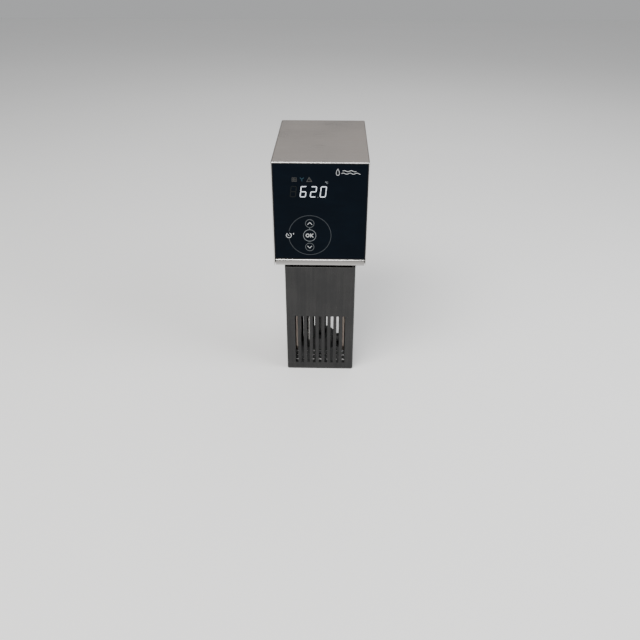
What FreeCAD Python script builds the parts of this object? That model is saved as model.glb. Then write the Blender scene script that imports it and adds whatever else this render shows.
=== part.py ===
# Sous vide circulator: a steel head that clamps on a pot's rim, with a pump and heaters hanging in
# the water under it. Millimetres. +Z is up, the display faces -Y, and X runs across the head. The
# origin is the middle of the clamp's fixed jaw, on the face that bears on the inside of the pot.
import FreeCAD, Part
import Sketcher
import os

doc = FreeCAD.newDocument("Circulator")
sheet = doc.addObject("Spreadsheet::Sheet", "Sizes")

SIZES = [
    # the whole object
    ("HeadWide", 132, "hood, over its side walls"),
    ("HeadDeep", 208, "hood, front lip to rear edge"),
    ("HeadTall", 152, "underside of the head to its top"),
    ("DipDeep", 184, "underside of the head to the bottom of the guard"),
    ("JawReach", 112, "front of the hood to the fixed jaw's face"),
    ("RimDrop", 34, "middle of the jaw to the underside of the head"),
    # sheet metal
    ("HoodSheet", 1.2, "hood's sheet"),
    ("HoodBend", 2.4, "outer radius of the hood's two long bends"),
    ("LipRound", 1, "rounding of the front lip"),
    ("PanSheet", 1.5, "base pan's sheet"),
    ("PanBend", 2.6, "outer radius of the pan's bends"),
    ("PanInset", 0.6, "chin's face behind the hood's front lip"),
    ("PanWall", 12, "height of the pan's side and rear walls"),
    ("WallStart", 20, "pan's side walls behind the chin's top fold"),
    ("ChinTall", 10, "height of the chin under the glass"),
    ("ChinLedge", 7, "depth of the chin's top fold"),
    ("ChinNotch", 1.6, "gap between the chin's ends and the hood"),
    ("SidePlay", 0.1, "sheet parts to the hood and to each other"),
    ("RearSheet", 1.5, "rear panel's sheet"),
    ("RearInset", 1, "rear panel inside the hood's rear edge"),
    ("RearLift", 0.5, "rear panel's lower edge above the underside"),
    ("WallScrewRise", 7, "screws in the pan's walls above the underside"),
    ("HoodScrewFore", 38, "first hood screw behind the hood's front"),
    ("HoodScrewAft", 30, "last hood screw before the hood's rear edge"),
    ("RearScrewIn", 14, "rear panel's screws from the hood's sides"),
    ("FloorVentPitch", 11, "vents in the pan, slot to slot"),
    ("FloorVentWide", 4, "vents in the pan, width"),
    ("FloorVentLong", 28, "vents in the pan, length"),
    ("FloorVentAft", 16, "vents in the pan from the hood's rear edge"),
    ("RearVentPitch", 9, "vents in the rear panel, slot to slot"),
    ("RearVentWide", 3.5, "vents in the rear panel, width"),
    ("RearVentLong", 20, "vents in the rear panel, length"),
    ("RearVentDrop", 30, "middle of the upper row of vents below the head's top"),
    ("RearVentRow", 26, "upper row of vents to the lower row"),
    # front of the head
    ("BezelInset", 0.6, "bezel behind the hood's front lip"),
    ("BezelDeep", 8, "bezel, front to back"),
    ("BezelWall", 1.2, "bezel's rim round the glass"),
    ("BezelLedge", 4, "width of the ledge that the glass rests on"),
    ("GlassThick", 3, "front glass"),
    ("GlassPlay", 0.15, "glass to bezel"),
    ("GlassInset", 0.2, "glass behind the bezel's front"),
    ("GlassBevel", 0.4, "ground bevel round the glass"),
    ("CarrierThick", 2, "plate that closes the bezel"),
    ("CarrierInset", 1, "that plate inside the bezel's edge"),
    ("KeyLeft", 14.5, "middle of the touch ring, left of the glass's middle"),
    ("KeyRise", 47, "middle of the touch ring above the head's underside"),
    ("KeyPitch", 17.7, "touch key to touch key"),
    ("TimerOut", 29, "timer key left of the touch ring's middle"),
    ("SpringRound", 3, "touch springs, radius"),
    ("TouchWide", 66, "touch board, across"),
    ("TouchTall", 46, "touch board, height"),
    ("TouchWindow", 24, "opening in the plate behind the touch keys"),
    ("DigitsDrop", 41, "middle of the figures below the head's top"),
    ("FigureOut", 20.5, "first figure left of the touch ring's middle"),
    ("FigurePitch", 13.6, "figure to figure"),
    ("FigureWide", 11, "figure's well, across"),
    ("FigureTall", 20, "figure's well, height"),
    ("FigureDeep", 1, "figure's well, depth"),
    ("DisplayWide", 64, "display, across"),
    ("DisplayTall", 34, "display, height"),
    ("DisplayRise", 5, "display's middle above its figures'"),
    ("DisplayAside", 1, "display's middle right of the touch ring's"),
    ("DisplayRim", 2, "display's board beyond its block, all round"),
    ("DisplayGap", 0.4, "display behind the glass"),
    ("WindowPlay", 0.5, "display to its window in the plate"),
    # circuit boards
    ("BoardThick", 1.6, "every circuit board"),
    ("BoardCorner", 5, "standoffs from a board's edges"),
    ("PostRound", 3, "standoffs, radius"),
    ("PostPeg", 1, "standoffs' pegs above their boards"),
    ("ControlInset", 9, "control board from the head's sides"),
    ("ControlGap", 4.5, "control board above the cooling fan"),
    ("ControlDrop", 8, "control board below the head's top"),
    ("ControlLift", 6, "control board's standoffs"),
    ("ChipHigh", 3, "flat chips, height"),
    ("ChipWide", 16, "processor, each way"),
    ("ChipOut", 4, "processor left of the middle"),
    ("DriverWide", 14, "driver chip, across"),
    ("DriverTall", 10, "driver chip, height"),
    ("DriverOut", 31, "driver chip left of the middle"),
    ("PlugHigh", 7, "plug, off the board"),
    ("PlugWide", 10, "plug, across"),
    ("PlugTall", 24, "plug, height"),
    ("PlugOut", 23, "plug right of the middle"),
    ("BayGap", 19, "motor to the power board"),
    ("PowerWide", 100, "power board, across"),
    ("PowerDeep", 84, "power board, front to back"),
    ("PowerLift", 8, "power board's standoffs"),
    ("SinkOut", 44, "heat sink's back left of the middle"),
    ("SinkPlate", 4, "heat sink's back, thickness"),
    ("SinkFin", 16, "heat sink's fins, length"),
    ("FinThick", 1.6, "heat sink's fins, thickness"),
    ("FinPitch", 5.4, "heat sink's fins, one to the next"),
    ("SinkLong", 58, "heat sink, front to back"),
    ("SinkTall", 44, "heat sink, height"),
    ("SinkFore", 13, "heat sink behind the board's front edge"),
    ("CoreWide", 36, "transformer's core, across"),
    ("CoreDeep", 34, "transformer's core, front to back"),
    ("CoreTall", 34, "transformer's core, height"),
    ("CoreOut", 24, "transformer right of the middle"),
    ("CoreFore", 11, "transformer behind the board's front edge"),
    ("CoilIn", 7, "transformer's coil inside the faces of its core"),
    ("CoilOut", 6, "transformer's coil beyond the ends of its core"),
    ("RelayWide", 14, "relays, across"),
    ("RelayDeep", 24, "relays, front to back"),
    ("RelayTall", 22, "relays, height"),
    ("RelayPitch", 18, "relay to relay"),
    ("RelayFore", 53, "relays behind the board's front edge"),
    ("RelayOut", 14, "first relay left of the middle"),
    ("CanRound", 7, "small capacitors, radius"),
    ("CanTall", 26, "small capacitors, height"),
    ("CanOut", 10, "small capacitors left of the middle"),
    ("CanFore", 13, "first small capacitor behind the board's front edge"),
    ("CanPitch", 18, "small capacitor to small capacitor"),
    ("BigCanRound", 8, "large capacitor, radius"),
    ("BigCanTall", 30, "large capacitor, height"),
    ("BigCanOut", 36, "large capacitor right of the middle"),
    ("BigCanFore", 63, "large capacitor behind the board's front edge"),
    # drive
    ("ColumnBack", 42, "pump shaft behind the hood's front"),
    ("MotorRound", 24, "motor case, radius"),
    ("MotorTall", 54, "motor case, height"),
    ("MotorWall", 1.5, "motor case's wall"),
    ("MotorLift", 14, "motor's posts, height"),
    ("MotorPostOut", 14.4, "motor's posts from the shaft, each way"),
    ("MotorPostRound", 3.5, "motor's posts, radius"),
    ("MotorVentWide", 21.6, "windows through the motor case, width"),
    ("MotorVentTall", 5, "windows through the motor case, height"),
    ("MotorVentRise", 14, "windows above the motor case's foot"),
    ("ShaftRound", 3, "pump shaft, radius"),
    ("RunPlay", 0.05, "running fit: shaft, spindle, ball and rocker pins, radial"),
    ("BearingRound", 8, "bearings, outer radius"),
    ("BearingTall", 5, "bearings, width"),
    ("BearingSeat", 0.02, "bearings to the motor case, radial"),
    ("RotorRound", 13.4, "rotor, radius"),
    ("RotorGap", 6, "rotor to bearings, along the shaft"),
    ("AirGap", 0.6, "rotor to stator"),
    ("StatorGap", 5, "stator to bearings, along the shaft"),
    ("StatorSlot", 3, "stator's slots, width"),
    ("StatorYoke", 3, "stator's ring outside its slots"),
    ("FanRound", 20, "cooling fan, radius"),
    ("FanLift", 3, "cooling fan above the motor"),
    ("FanTall", 11, "cooling fan, height"),
    ("FanHub", 7, "cooling fan's hub, radius"),
    ("WheelHub", 6, "impeller's hub, radius"),
    ("WheelTall", 12, "impeller, height"),
    ("WheelLean", 3, "how far the impeller's vane tips trail"),
    ("VaneThick", 1.6, "vanes of both wheels"),
    ("VaneTip", 0.5, "vane tips inside their disc's edge"),
    ("WheelPlate", 1.5, "discs of both wheels"),
    ("SealTall", 5, "shaft seal, height"),
    ("SealPlay", 0.1, "shaft seal to the pan"),
    # wet end
    ("FlangeThick", 3, "flange under the pan"),
    ("GasketThick", 1, "gasket between flange and pan"),
    ("FlangeWide", 96, "flange, across"),
    ("FlangeDeep", 66, "flange, front to back"),
    ("FlangeCorner", 5, "flange's corners, radius"),
    ("EntryPlay", 0.1, "heaters, probes and stem to pan and gasket"),
    ("FlangeSeat", 0.05, "heaters, probes and stem to the flange, nuts to heaters"),
    ("TubeRound", 9, "pump tube, outer radius"),
    ("TubeWall", 2, "pump tube's wall"),
    ("TubeLong", 134, "pump tube, flange to pump"),
    ("LowerBushTall", 9, "bush at the tube's lower end, height"),
    ("LowerBushSeat", 0.05, "that bush to the tube, radial"),
    ("PumpRound", 21, "pump housing, outer radius"),
    ("PumpTall", 20, "pump housing, height"),
    ("PumpWall", 2, "pump housing's wall"),
    ("PumpEye", 1, "housing's upper opening to the shaft"),
    ("WheelPlay", 2, "impeller to housing"),
    ("IntakeThick", 2.5, "intake cover"),
    ("IntakeNear", 5, "intake windows, nearest the shaft"),
    ("IntakeFar", 11, "intake windows, farthest from the shaft"),
    ("IntakeNarrow", 2.4, "intake windows' inner width"),
    ("IntakeBroad", 6, "intake windows' outer width"),
    ("SpoutRound", 6.5, "outlet spout, outer radius"),
    ("SpoutWall", 1.5, "outlet spout's wall"),
    ("SpoutLong", 24, "outlet spout, length"),
    ("SpoutRoot", 1, "outlet spout let into the housing"),
    ("HeaterRound", 4, "heater tube, radius"),
    ("HeaterOut", 36, "heater's plane, from the middle"),
    ("HeaterBend", 24, "radius of the heater's lower bend"),
    ("HeaterLong", 160, "heater, flange to the middle of its lower bend"),
    ("HeaterHigh", 12, "heater's cold ends above the pan"),
    ("NutAcross", 13, "heater nuts, across flats"),
    ("NutTall", 5, "heater nuts, height"),
    ("ProbeOut", 16, "probes, from the middle"),
    ("ProbeFore", 27, "probes in front of the shaft"),
    ("ProbeRound", 2.5, "probes, radius"),
    ("ProbeTip", 1.25, "probes' tips, radius"),
    ("ProbeHigh", 9, "probes above the pan"),
    ("ProbeCollar", 4, "probes' collars, height"),
    ("CollarRim", 2, "collars of probes and stem beyond them"),
    ("WarmReach", 132, "temperature probe below the flange"),
    ("DryReach", 70, "dry-run probe below the flange"),
    ("StemRound", 2.5, "float's stem, radius"),
    ("StemBack", 27, "float's stem behind the shaft"),
    ("StemFoot", 5, "stem below the lowered float"),
    ("StemCollar", 3, "stem's collar on the pan, height"),
    ("StopRim", 1.8, "stem's stop beyond it"),
    ("StopTall", 2, "stem's stop, height"),
    ("StopPlay", 0.4, "raised float to its stop"),
    ("FloatRound", 8, "float, radius"),
    ("FloatTall", 18, "float, height"),
    ("FloatDrop", 72, "lowered float's bottom below the flange"),
    ("FloatRise", 12, "float's travel"),
    ("FloatPlay", 0.5, "float to stem, radial"),
    ("ClipTall", 1.8, "clip under the float, thickness"),
    ("ClipDrop", 2, "clip's foot below the lowered float"),
    # guard
    ("GuardWide", 103, "guard, across"),
    ("GuardDeep", 74.5, "guard, front to back"),
    ("GuardSheet", 1, "guard's sheet"),
    ("GuardBack", 5.5, "guard's front behind the hood's front"),
    ("GuardGap", 5, "head's underside to the guard's top edge"),
    ("GuardBend", 4, "outer radius of the guard's corners"),
    ("GuardFoot", 2, "guard's base, thickness"),
    ("SlotLong", 84, "guard's slots, length"),
    ("SlotRound", 2, "guard's slots, half their width"),
    ("SlotPitch", 9, "slot to slot"),
    ("SlotLift", 12, "guard's bottom to its slots"),
    ("FootHole", 3.2, "holes in the guard's base, radius"),
    ("FootPitch", 12, "holes in the guard's base, one to the next"),
    ("HangerSheet", 1.5, "guard hangers' sheet"),
    ("HangerWide", 36, "guard hangers, front to back"),
    ("HangerFoot", 14, "guard hangers under the flange"),
    ("HangerEdge", 6, "guard hangers below their screws"),
    ("HangerScrewDrop", 10, "guard's screws below its top edge"),
    ("HangerScrewPitch", 24, "guard's screw to screw"),
    ("HangerScrewLong", 5, "guard's screws, length"),
    # clamp
    ("JawWide", 40, "clamp bracket, across"),
    ("JawSheet", 3, "bracket's sheet"),
    ("JawRubber", 2, "jaw pad's thickness"),
    ("JawTall", 36, "jaw pad's height"),
    ("JawRim", 2, "bracket beyond the jaw pad"),
    ("ThroatDeep", 42, "jaw face to the bracket's outer leg"),
    ("LegBelow", 10, "bracket's outer leg below the spindle"),
    ("LegPlay", 0.5, "spindle to the bracket's leg"),
    ("BracketBend", 1, "inner radius of the bracket's bends"),
    ("BracketScrewOut", 12, "bracket's screws from the middle"),
    ("BracketScrewFore", 10.5, "bracket's first screws behind the jaw face"),
    ("BracketScrewPitch", 21, "bracket's screws, first to second"),
    ("BracketScrewRise", 4, "bracket's screws above the pan"),
    ("RestGap", 16, "jaw to pressure pad as stored"),
    ("PadRound", 14, "pressure pad, radius"),
    ("PadThick", 3, "pressure pad's thickness"),
    ("CupDeep", 6, "pad cup's depth"),
    ("CupPlate", 1.5, "pad cup's plate"),
    ("CupInset", 1, "pad cup inside the pad's edge"),
    ("CupNeck", 3, "pad cup's neck beyond the spindle"),
    ("BallStep", 1, "spindle's end thinner than its thread"),
    ("BallGap", 0.1, "spindle's end to the cup's plate"),
    ("ShoulderGap", 0.3, "spindle's shoulder behind its cup"),
    ("SpindleRound", 5, "spindle, radius"),
    ("SpindleLong", 60, "spindle behind its pad cup"),
    ("BushAcross", 16, "threaded bush, across flats"),
    ("BushLong", 8, "threaded bush behind the outer leg"),
    ("KnobRound", 21, "knob, radius over its lobes"),
    ("KnobDeep", 22, "knob, length"),
    ("KnobPast", 4, "knob's back behind the spindle's nominal end"),
    ("KnobSkin", 6, "knob's solid back over the spindle"),
    ("FluteRound", 6, "knob's flutes, radius"),
    ("FluteOut", 3, "middle of the flutes beyond the knob"),
    ("CapRound", 9, "seat of the knob's cap, radius"),
    ("CapPlay", 0.1, "cap to its seat"),
    ("CapSeat", 2, "seat of the knob's cap, depth"),
    ("CapThick", 2.6, "knob's cap"),
    # small parts
    ("ScrewRound", 1.5, "small screws, radius"),
    ("ScrewHead", 2.8, "small screws' heads, radius"),
    ("ScrewCap", 1.6, "small screws' heads, height"),
    ("ScrewPlay", 0.05, "screws to their holes, radial"),
    ("ScrewLong", 7, "casing screws, length"),
    # rear of the head
    ("RearRise", 38, "inlet, switch and breaker above the underside"),
    ("CutoutPlay", 0.2, "inlet and switch to their openings"),
    ("InletLeft", 32, "mains inlet left of the middle, seen from the front"),
    ("InletWide", 27, "inlet's body, across"),
    ("InletTall", 20, "inlet's body, height"),
    ("InletDeep", 18, "inlet's body inside the panel"),
    ("InletWall", 1.7, "inlet's wall"),
    ("InletFloor", 2, "inlet's inner end"),
    ("InletChamfer", 4, "inlet recess's two cut corners"),
    ("FaceWide", 50, "inlet's flange, across"),
    ("FaceTall", 30, "inlet's flange, height"),
    ("FaceThick", 3, "inlet's flange"),
    ("FaceCorner", 4, "inlet flange's corners, radius"),
    ("InletScrewOut", 20, "inlet's screws from its middle"),
    ("PinPitch", 7, "line and neutral pins from the inlet's middle"),
    ("PinBelow", 2, "line and neutral pins below the inlet's middle"),
    ("EarthAbove", 3, "earth pin above the inlet's middle"),
    ("PinWide", 4, "mains pins, width"),
    ("PinThick", 2, "mains pins, thickness"),
    ("PinTail", 6, "mains pins behind the inlet"),
    ("PinShort", 3, "mains pins short of the panel's inner face"),
    ("SwitchRight", 30, "switch right of the middle"),
    ("SwitchWide", 20, "switch's body, across"),
    ("SwitchTall", 29, "switch's body, height"),
    ("SwitchDeep", 16, "switch's body inside the panel"),
    ("SwitchFloor", 2, "switch's inner end"),
    ("SwitchRim", 2, "switch's rim: its width, thickness and corners"),
    ("RockerSunk", 1.5, "rocker's pins inside the panel's face"),
    ("RockerRound", 11.4, "rocker's end radius about its pins"),
    ("RockerWide", 13, "rocker, along its pins"),
    ("RockerPlay", 0.4, "rocker to its body"),
    ("RockerFace", 4, "rocker's middle in front of its pins"),
    ("RockerLean", 3.2, "how far the rocker's upper end stands out"),
    ("RockerFoot", 5, "rocker behind its pins"),
    ("PinRound", 1.5, "rocker's pins, radius"),
    ("PinReach", 1.4, "rocker's pins into the switch body"),
    ("PinEnd", 0.1, "ends of the rocker's pins to the switch body"),
    ("BreakerRight", 2, "breaker right of the middle"),
    ("BreakerDeep", 20, "breaker inside the panel"),
    ("BreakerBack", 5, "breaker's body beyond its button"),
    ("BreakerNeck", 2, "breaker's neck beyond its button"),
    ("BreakerFace", 4, "breaker's collar beyond its button"),
    ("BreakerOut", 2.5, "breaker's collar, thickness"),
    ("ButtonRound", 4, "breaker button, radius"),
    ("ButtonPlay", 0.3, "breaker button to its sleeve"),
    ("ButtonDeep", 12, "breaker button inside the panel"),
    ("ButtonOut", 6, "breaker button outside the panel"),
]


class Size:
    """A length tied to the sheet: arithmetic on it builds the formula that a property is bound to."""

    def __init__(self, formula):
        self.formula = str(formula)

    def __str__(self):
        return self.formula

    def __add__(self, other):
        return Size(f"({self} + {other})")

    def __radd__(self, other):
        return Size(f"({other} + {self})")

    def __sub__(self, other):
        return Size(f"({self} - {other})")

    def __rsub__(self, other):
        return Size(f"({other} - {self})")

    def __mul__(self, other):
        return Size(f"({self} * {other})")

    __rmul__ = __mul__

    def __truediv__(self, other):
        return Size(f"({self} / {other})")

    def __neg__(self):
        return Size(f"(0 - {self})")


def now(size):
    """The present value of a size or a formula."""
    return float(sheet.evalExpression(str(size)))


S = {}
for row, (alias, value, note) in enumerate(SIZES, start=1):
    sheet.set(f"A{row}", str(value))
    sheet.setAlias(f"A{row}", alias)
    sheet.set(f"B{row}", note)
    S[alias] = Size(f"Sizes.{alias}")
doc.recompute()

NODES = []
PLANES = {"X": "YZ_Plane", "Y": "XZ_Plane", "Z": "XY_Plane"}
TURNS = {
    "+Z": FreeCAD.Rotation(),
    "-Z": FreeCAD.Rotation(FreeCAD.Vector(1, 0, 0), 180),
    "+X": FreeCAD.Rotation(FreeCAD.Vector(0, 1, 0), 90),
    "-X": FreeCAD.Rotation(FreeCAD.Vector(0, 1, 0), -90),
    "+Y": FreeCAD.Rotation(FreeCAD.Vector(1, 0, 0), -90),
    "-Y": FreeCAD.Rotation(FreeCAD.Vector(1, 0, 0), 90),
}


# ---------------------------------------------------------------- drawing helpers

def body(name):
    """A PartDesign body that is one node."""
    piece = doc.addObject("PartDesign::Body", name)
    piece.Label = name
    NODES.append(piece)
    return piece


def pin_point(drawing, geometry, place, x, y):
    """Tie a point of the drawing to its two distances from the drawing's origin."""
    for kind, size in (("DistanceX", x), ("DistanceY", y)):
        at = drawing.addConstraint(Sketcher.Constraint(kind, -1, 1, geometry, place, now(size)))
        drawing.setExpression(f"Constraints[{at}]", str(size))


class Disc:
    """A full circle."""

    def __init__(self, x, y, radius):
        self.x, self.y, self.radius = x, y, radius

    def draw(self, drawing):
        middle = FreeCAD.Vector(now(self.x), now(self.y), 0)
        circle = Part.Circle(middle, FreeCAD.Vector(0, 0, 1), now(self.radius))
        geometry = drawing.addGeometry(circle)
        pin_point(drawing, geometry, 3, self.x, self.y)
        at = drawing.addConstraint(Sketcher.Constraint("Radius", geometry, now(self.radius)))
        drawing.setExpression(f"Constraints[{at}]", str(self.radius))


class Outline:
    """A closed outline of straight runs."""

    def __init__(self, *points):
        self.points = points

    def draw(self, drawing):
        spots = [FreeCAD.Vector(now(x), now(y), 0) for x, y in self.points]
        count = len(spots)
        lines = [Part.LineSegment(spots[i], spots[(i + 1) % count]) for i in range(count)]
        first = drawing.addGeometry(lines)[0]
        for i in range(count):
            after = first + (i + 1) % count
            drawing.addConstraint(Sketcher.Constraint("Coincident", first + i, 2, after, 1))
        for i, (x, y) in enumerate(self.points):
            pin_point(drawing, first + i, 1, x, y)


def oblong(left, low, right, high):
    """A rectangle."""
    return Outline((left, low), (right, low), (right, high), (left, high))


def sketch(piece, across, at, outlines, middle=(0, 0)):
    """A sketch square to the axis `across`, standing at `at`, its origin at `middle` of that plane."""
    plane = next(f for f in piece.Origin.OriginFeatures if f.Role == PLANES[across])
    drawing = piece.newObject("Sketcher::SketchObject", "Sketch")
    drawing.AttachmentSupport = [(plane, "")]
    drawing.MapMode = "FlatFace"
    drawing.setExpression("AttachmentOffset.Base.x", str(middle[0]))
    drawing.setExpression("AttachmentOffset.Base.y", str(middle[1]))
    drawing.setExpression("AttachmentOffset.Base.z", str(-at if across == "Y" else at))
    for outline in outlines:
        outline.draw(drawing)
    return drawing


def settle(piece, feature):
    """Work the feature out, and stop at once if it failed."""
    doc.recompute()
    if "Invalid" in feature.State or feature.Shape.isNull():
        raise RuntimeError(f"{feature.Name} failed on {piece.Label}")


def pad(piece, across, low, high, *outlines, middle=(0, 0)):
    """Solid from `low` to `high` along an axis."""
    feature_sketch = sketch(piece, across, high if across == "Y" else low, outlines, middle)
    feature = piece.newObject("PartDesign::Pad", "Pad")
    feature.Profile = feature_sketch
    feature.setExpression("Length", str(high - low))
    settle(piece, feature)
    return feature


def cut(piece, across, low, high, *outlines, middle=(0, 0)):
    """Take away what lies from `low` to `high` along an axis, and make sure that it did."""
    before = piece.Shape.Volume
    feature_sketch = sketch(piece, across, low if across == "Y" else high, outlines, middle)
    feature = piece.newObject("PartDesign::Pocket", "Pocket")
    feature.Profile = feature_sketch
    feature.setExpression("Length", str(high - low))
    settle(piece, feature)
    if piece.Shape.Volume > before - 1e-3:
        raise RuntimeError(f"a cut in {piece.Label} takes nothing away")
    return feature


def turn(piece, across, at, line, *outlines, middle=(0, 0)):
    """Revolve outlines about the drawing's own upright ("V_Axis") or level ("H_Axis") line."""
    feature_sketch = sketch(piece, across, at, outlines, middle)
    feature = piece.newObject("PartDesign::Revolution", "Turned")
    feature.Profile = feature_sketch
    feature.ReferenceAxis = (feature_sketch, [line])
    feature.Angle = 360
    settle(piece, feature)
    return feature


def around(piece, feature, count):
    """Repeat a feature evenly about the line through its own sketch's origin."""
    pattern = piece.newObject("PartDesign::PolarPattern", "Ring")
    pattern.Originals = [feature]
    pattern.Axis = (feature.Profile[0], ["N_Axis"])
    pattern.Angle = 360
    pattern.Occurrences = count
    piece.Tip = pattern
    settle(piece, pattern)


def straight_edges(shape, direction, spots):
    """Names of the edges along X, Y or Z (0, 1, 2) whose other two coordinates match a spot."""
    others = [i for i in range(3) if i != direction]
    names = []
    for number, edge in enumerate(shape.Edges, start=1):
        ends = [v.Point for v in edge.Vertexes]
        if len(ends) != 2 or edge.Curve.TypeId != "Part::GeomLine":
            continue
        if any(abs(ends[0][i] - ends[1][i]) > 1e-3 for i in others):
            continue
        for spot in spots:
            if all(abs(ends[0][i] - now(spot[k])) < 1e-3 for k, i in enumerate(others)):
                names.append(f"Edge{number}")
    return names


def ease(piece, direction, radius, *spots):
    """Round the straight edges that run along a direction through each spot."""
    names = straight_edges(piece.Shape, direction, spots)
    if not names:
        raise RuntimeError(f"no edge to round on {piece.Label}")
    rounded = piece.Tip
    feature = piece.newObject("PartDesign::Fillet", "Rounding")
    feature.Base = (rounded, names)
    feature.setExpression("Radius", str(radius))
    settle(piece, feature)


def rod(start, direction, radius, length):
    """A plain cylinder from `start` along a direction such as "+Z"."""
    solid = doc.addObject("Part::Cylinder", "Rod")
    solid.Placement = FreeCAD.Placement(FreeCAD.Vector(), TURNS[direction])
    for axis, size in zip("xyz", start):
        solid.setExpression(f"Placement.Base.{axis}", str(size))
    solid.setExpression("Radius", str(radius))
    solid.setExpression("Height", str(length))
    return solid


FLATS_TO_CORNERS = 3 ** 0.5


def hexagon(start, direction, across_flats, length):
    """A six-sided bar from `start` along a direction."""
    solid = doc.addObject("Part::Prism", "Hexagon")
    solid.Placement = FreeCAD.Placement(FreeCAD.Vector(), TURNS[direction])
    solid.Polygon = 6
    for axis, size in zip("xyz", start):
        solid.setExpression(f"Placement.Base.{axis}", str(size))
    solid.setExpression("Circumradius", str(across_flats / FLATS_TO_CORNERS))
    solid.setExpression("Height", str(length))
    return solid


def block(low, high):
    """A plain box between two corners."""
    solid = doc.addObject("Part::Box", "Block")
    for axis, size in zip("xyz", low):
        solid.setExpression(f"Placement.Base.{axis}", str(size))
    for side, start, end in zip(("Length", "Width", "Height"), low, high):
        solid.setExpression(side, str(end - start))
    return solid


def fuse(*solids):
    """Several overlapping solids as one."""
    joined = doc.addObject("Part::MultiFuse", "Joined")
    joined.Shapes = list(solids)
    return joined


def less(solid, tool):
    """A solid with another taken out of it."""
    result = doc.addObject("Part::Cut", "Less")
    result.Base = solid
    result.Tool = tool
    return result


def node(name, *solids):
    """One node of a single solid, or of several separate ones."""
    if len(solids) == 1:
        piece = solids[0]
    else:
        piece = doc.addObject("Part::Compound", name)
        piece.Links = list(solids)
    piece.Label = name
    NODES.append(piece)
    return piece


def screw(seat, outward, length, head=None, cap=None, shank=None):
    """A screw: its head stands outward from the seat, and its shank goes the other way."""
    inward = ("-" if outward[0] == "+" else "+") + outward[1]
    top = rod(seat, outward, head or S["ScrewHead"], cap or S["ScrewCap"])
    stem = rod(seat, inward, shank or S["ScrewRound"], length)
    return fuse(top, stem)


# ---------------------------------------------------------------- places that pieces share

half = S["HeadWide"] / 2
under = S["RimDrop"]
top = under + S["HeadTall"]
front = -S["JawReach"]
back = front + S["HeadDeep"]
inner_half = half - S["HoodSheet"]
pan_half = inner_half - S["SidePlay"]
pan_front = front + S["PanInset"]
rear_outer = back - S["RearInset"]
rear_inner = rear_outer - S["RearSheet"]
floor = under + S["PanSheet"]
hole = S["ScrewRound"] + S["ScrewPlay"]
PAST = 1  # how far a cut runs beyond the metal that it goes through
SIDES = (-1, 1)

bezel_front = front + S["BezelInset"]
bezel_back = bezel_front + S["BezelDeep"]
bezel_low = under + S["ChinTall"] + S["SidePlay"]
bezel_half = inner_half - S["SidePlay"]
bezel_high = top - S["HoodSheet"] - S["SidePlay"]
glass_half = bezel_half - S["BezelWall"] - S["GlassPlay"]
glass_low = bezel_low + S["BezelWall"] + S["GlassPlay"]
glass_high = bezel_high - S["BezelWall"] - S["GlassPlay"]
glass_front = bezel_front + S["GlassInset"]
glass_back = glass_front + S["GlassThick"]
keys_x = -S["KeyLeft"]
keys_z = under + S["KeyRise"]
digits_z = top - S["DigitsDrop"]
carrier_back = bezel_back + S["CarrierThick"]

shaft_y = front + S["ColumnBack"]
motor_low = floor + S["MotorLift"]
motor_high = motor_low + S["MotorTall"]
flange_top = under - S["GasketThick"]
flange_low = flange_top - S["FlangeThick"]
tube_low = flange_low - S["TubeLong"]
tube_bore = S["TubeRound"] - S["TubeWall"]
pump_low = tube_low - S["PumpTall"]
spout_z = tube_low - S["PumpTall"] / 2
wheel_high = tube_low - S["PumpWall"] - S["WheelPlay"]
wheel_low = wheel_high - S["WheelTall"]
wheel_plate = wheel_high - S["WheelPlate"]
fan_low = motor_high + S["FanLift"]
fan_high = fan_low + S["FanTall"]
fan_plate = fan_low + S["WheelPlate"]
heater_ys = [shaft_y + step * S["HeaterBend"] for step in SIDES]
heater_spots = [(side * S["HeaterOut"], y) for side in SIDES for y in heater_ys]
probe_y = shaft_y - S["ProbeFore"]
probe_spots = [(side * S["ProbeOut"], probe_y) for side in SIDES]
stem_y = shaft_y + S["StemBack"]

guard_half = S["GuardWide"] / 2
guard_front = front + S["GuardBack"]
guard_back = guard_front + S["GuardDeep"]
guard_top = under - S["GuardGap"]
guard_low = under - S["DipDeep"]


# ---------------------------------------------------------------- hood and base pan

def hood_screw_spots():
    """Where the hood is screwed to the pan's side walls: along Y, at one height."""
    z = under + S["WallScrewRise"]
    return [(front + S["HoodScrewFore"], z), ((front + back) / 2, z), (back - S["HoodScrewAft"], z)]


def make_hood():
    piece = body("hood")
    sheet_in = top - S["HoodSheet"]
    pad(piece, "Y", front, back, Outline(
        (-half, under), (-inner_half, under), (-inner_half, sheet_in), (inner_half, sheet_in),
        (inner_half, under), (half, under), (half, top), (-half, top)))
    inner_bend = S["HoodBend"] - S["HoodSheet"]
    ease(piece, 1, S["HoodBend"], (-half, top), (half, top))
    ease(piece, 1, inner_bend, (-inner_half, sheet_in), (inner_half, sheet_in))
    ease(piece, 0, S["LipRound"], (front, top))
    for y, z in hood_screw_spots():
        cut(piece, "X", -half, half, Disc(y, z, hole))


def rear_screw_spots():
    """Where the rear panel is screwed to the pan's rear wall: across X, at one height."""
    return [(side * (half - S["RearScrewIn"]), under + S["WallScrewRise"]) for side in SIDES]


def bracket_screw_spots():
    """Where the clamp bracket is screwed up into the pan."""
    rows = (S["BracketScrewFore"], S["BracketScrewFore"] + S["BracketScrewPitch"])
    return [(side * S["BracketScrewOut"], y) for side in SIDES for y in rows]


def entry_holes(shaft_hole, play):
    """Openings for everything that goes down through a plate under the head."""
    holes = [Disc(x, y, S["HeaterRound"] + play) for x, y in heater_spots]
    holes += [Disc(x, y, S["ProbeRound"] + play) for x, y in probe_spots]
    holes.append(Disc(0, stem_y, S["StemRound"] + play))
    holes.append(Disc(0, shaft_y, shaft_hole))
    return holes


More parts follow.
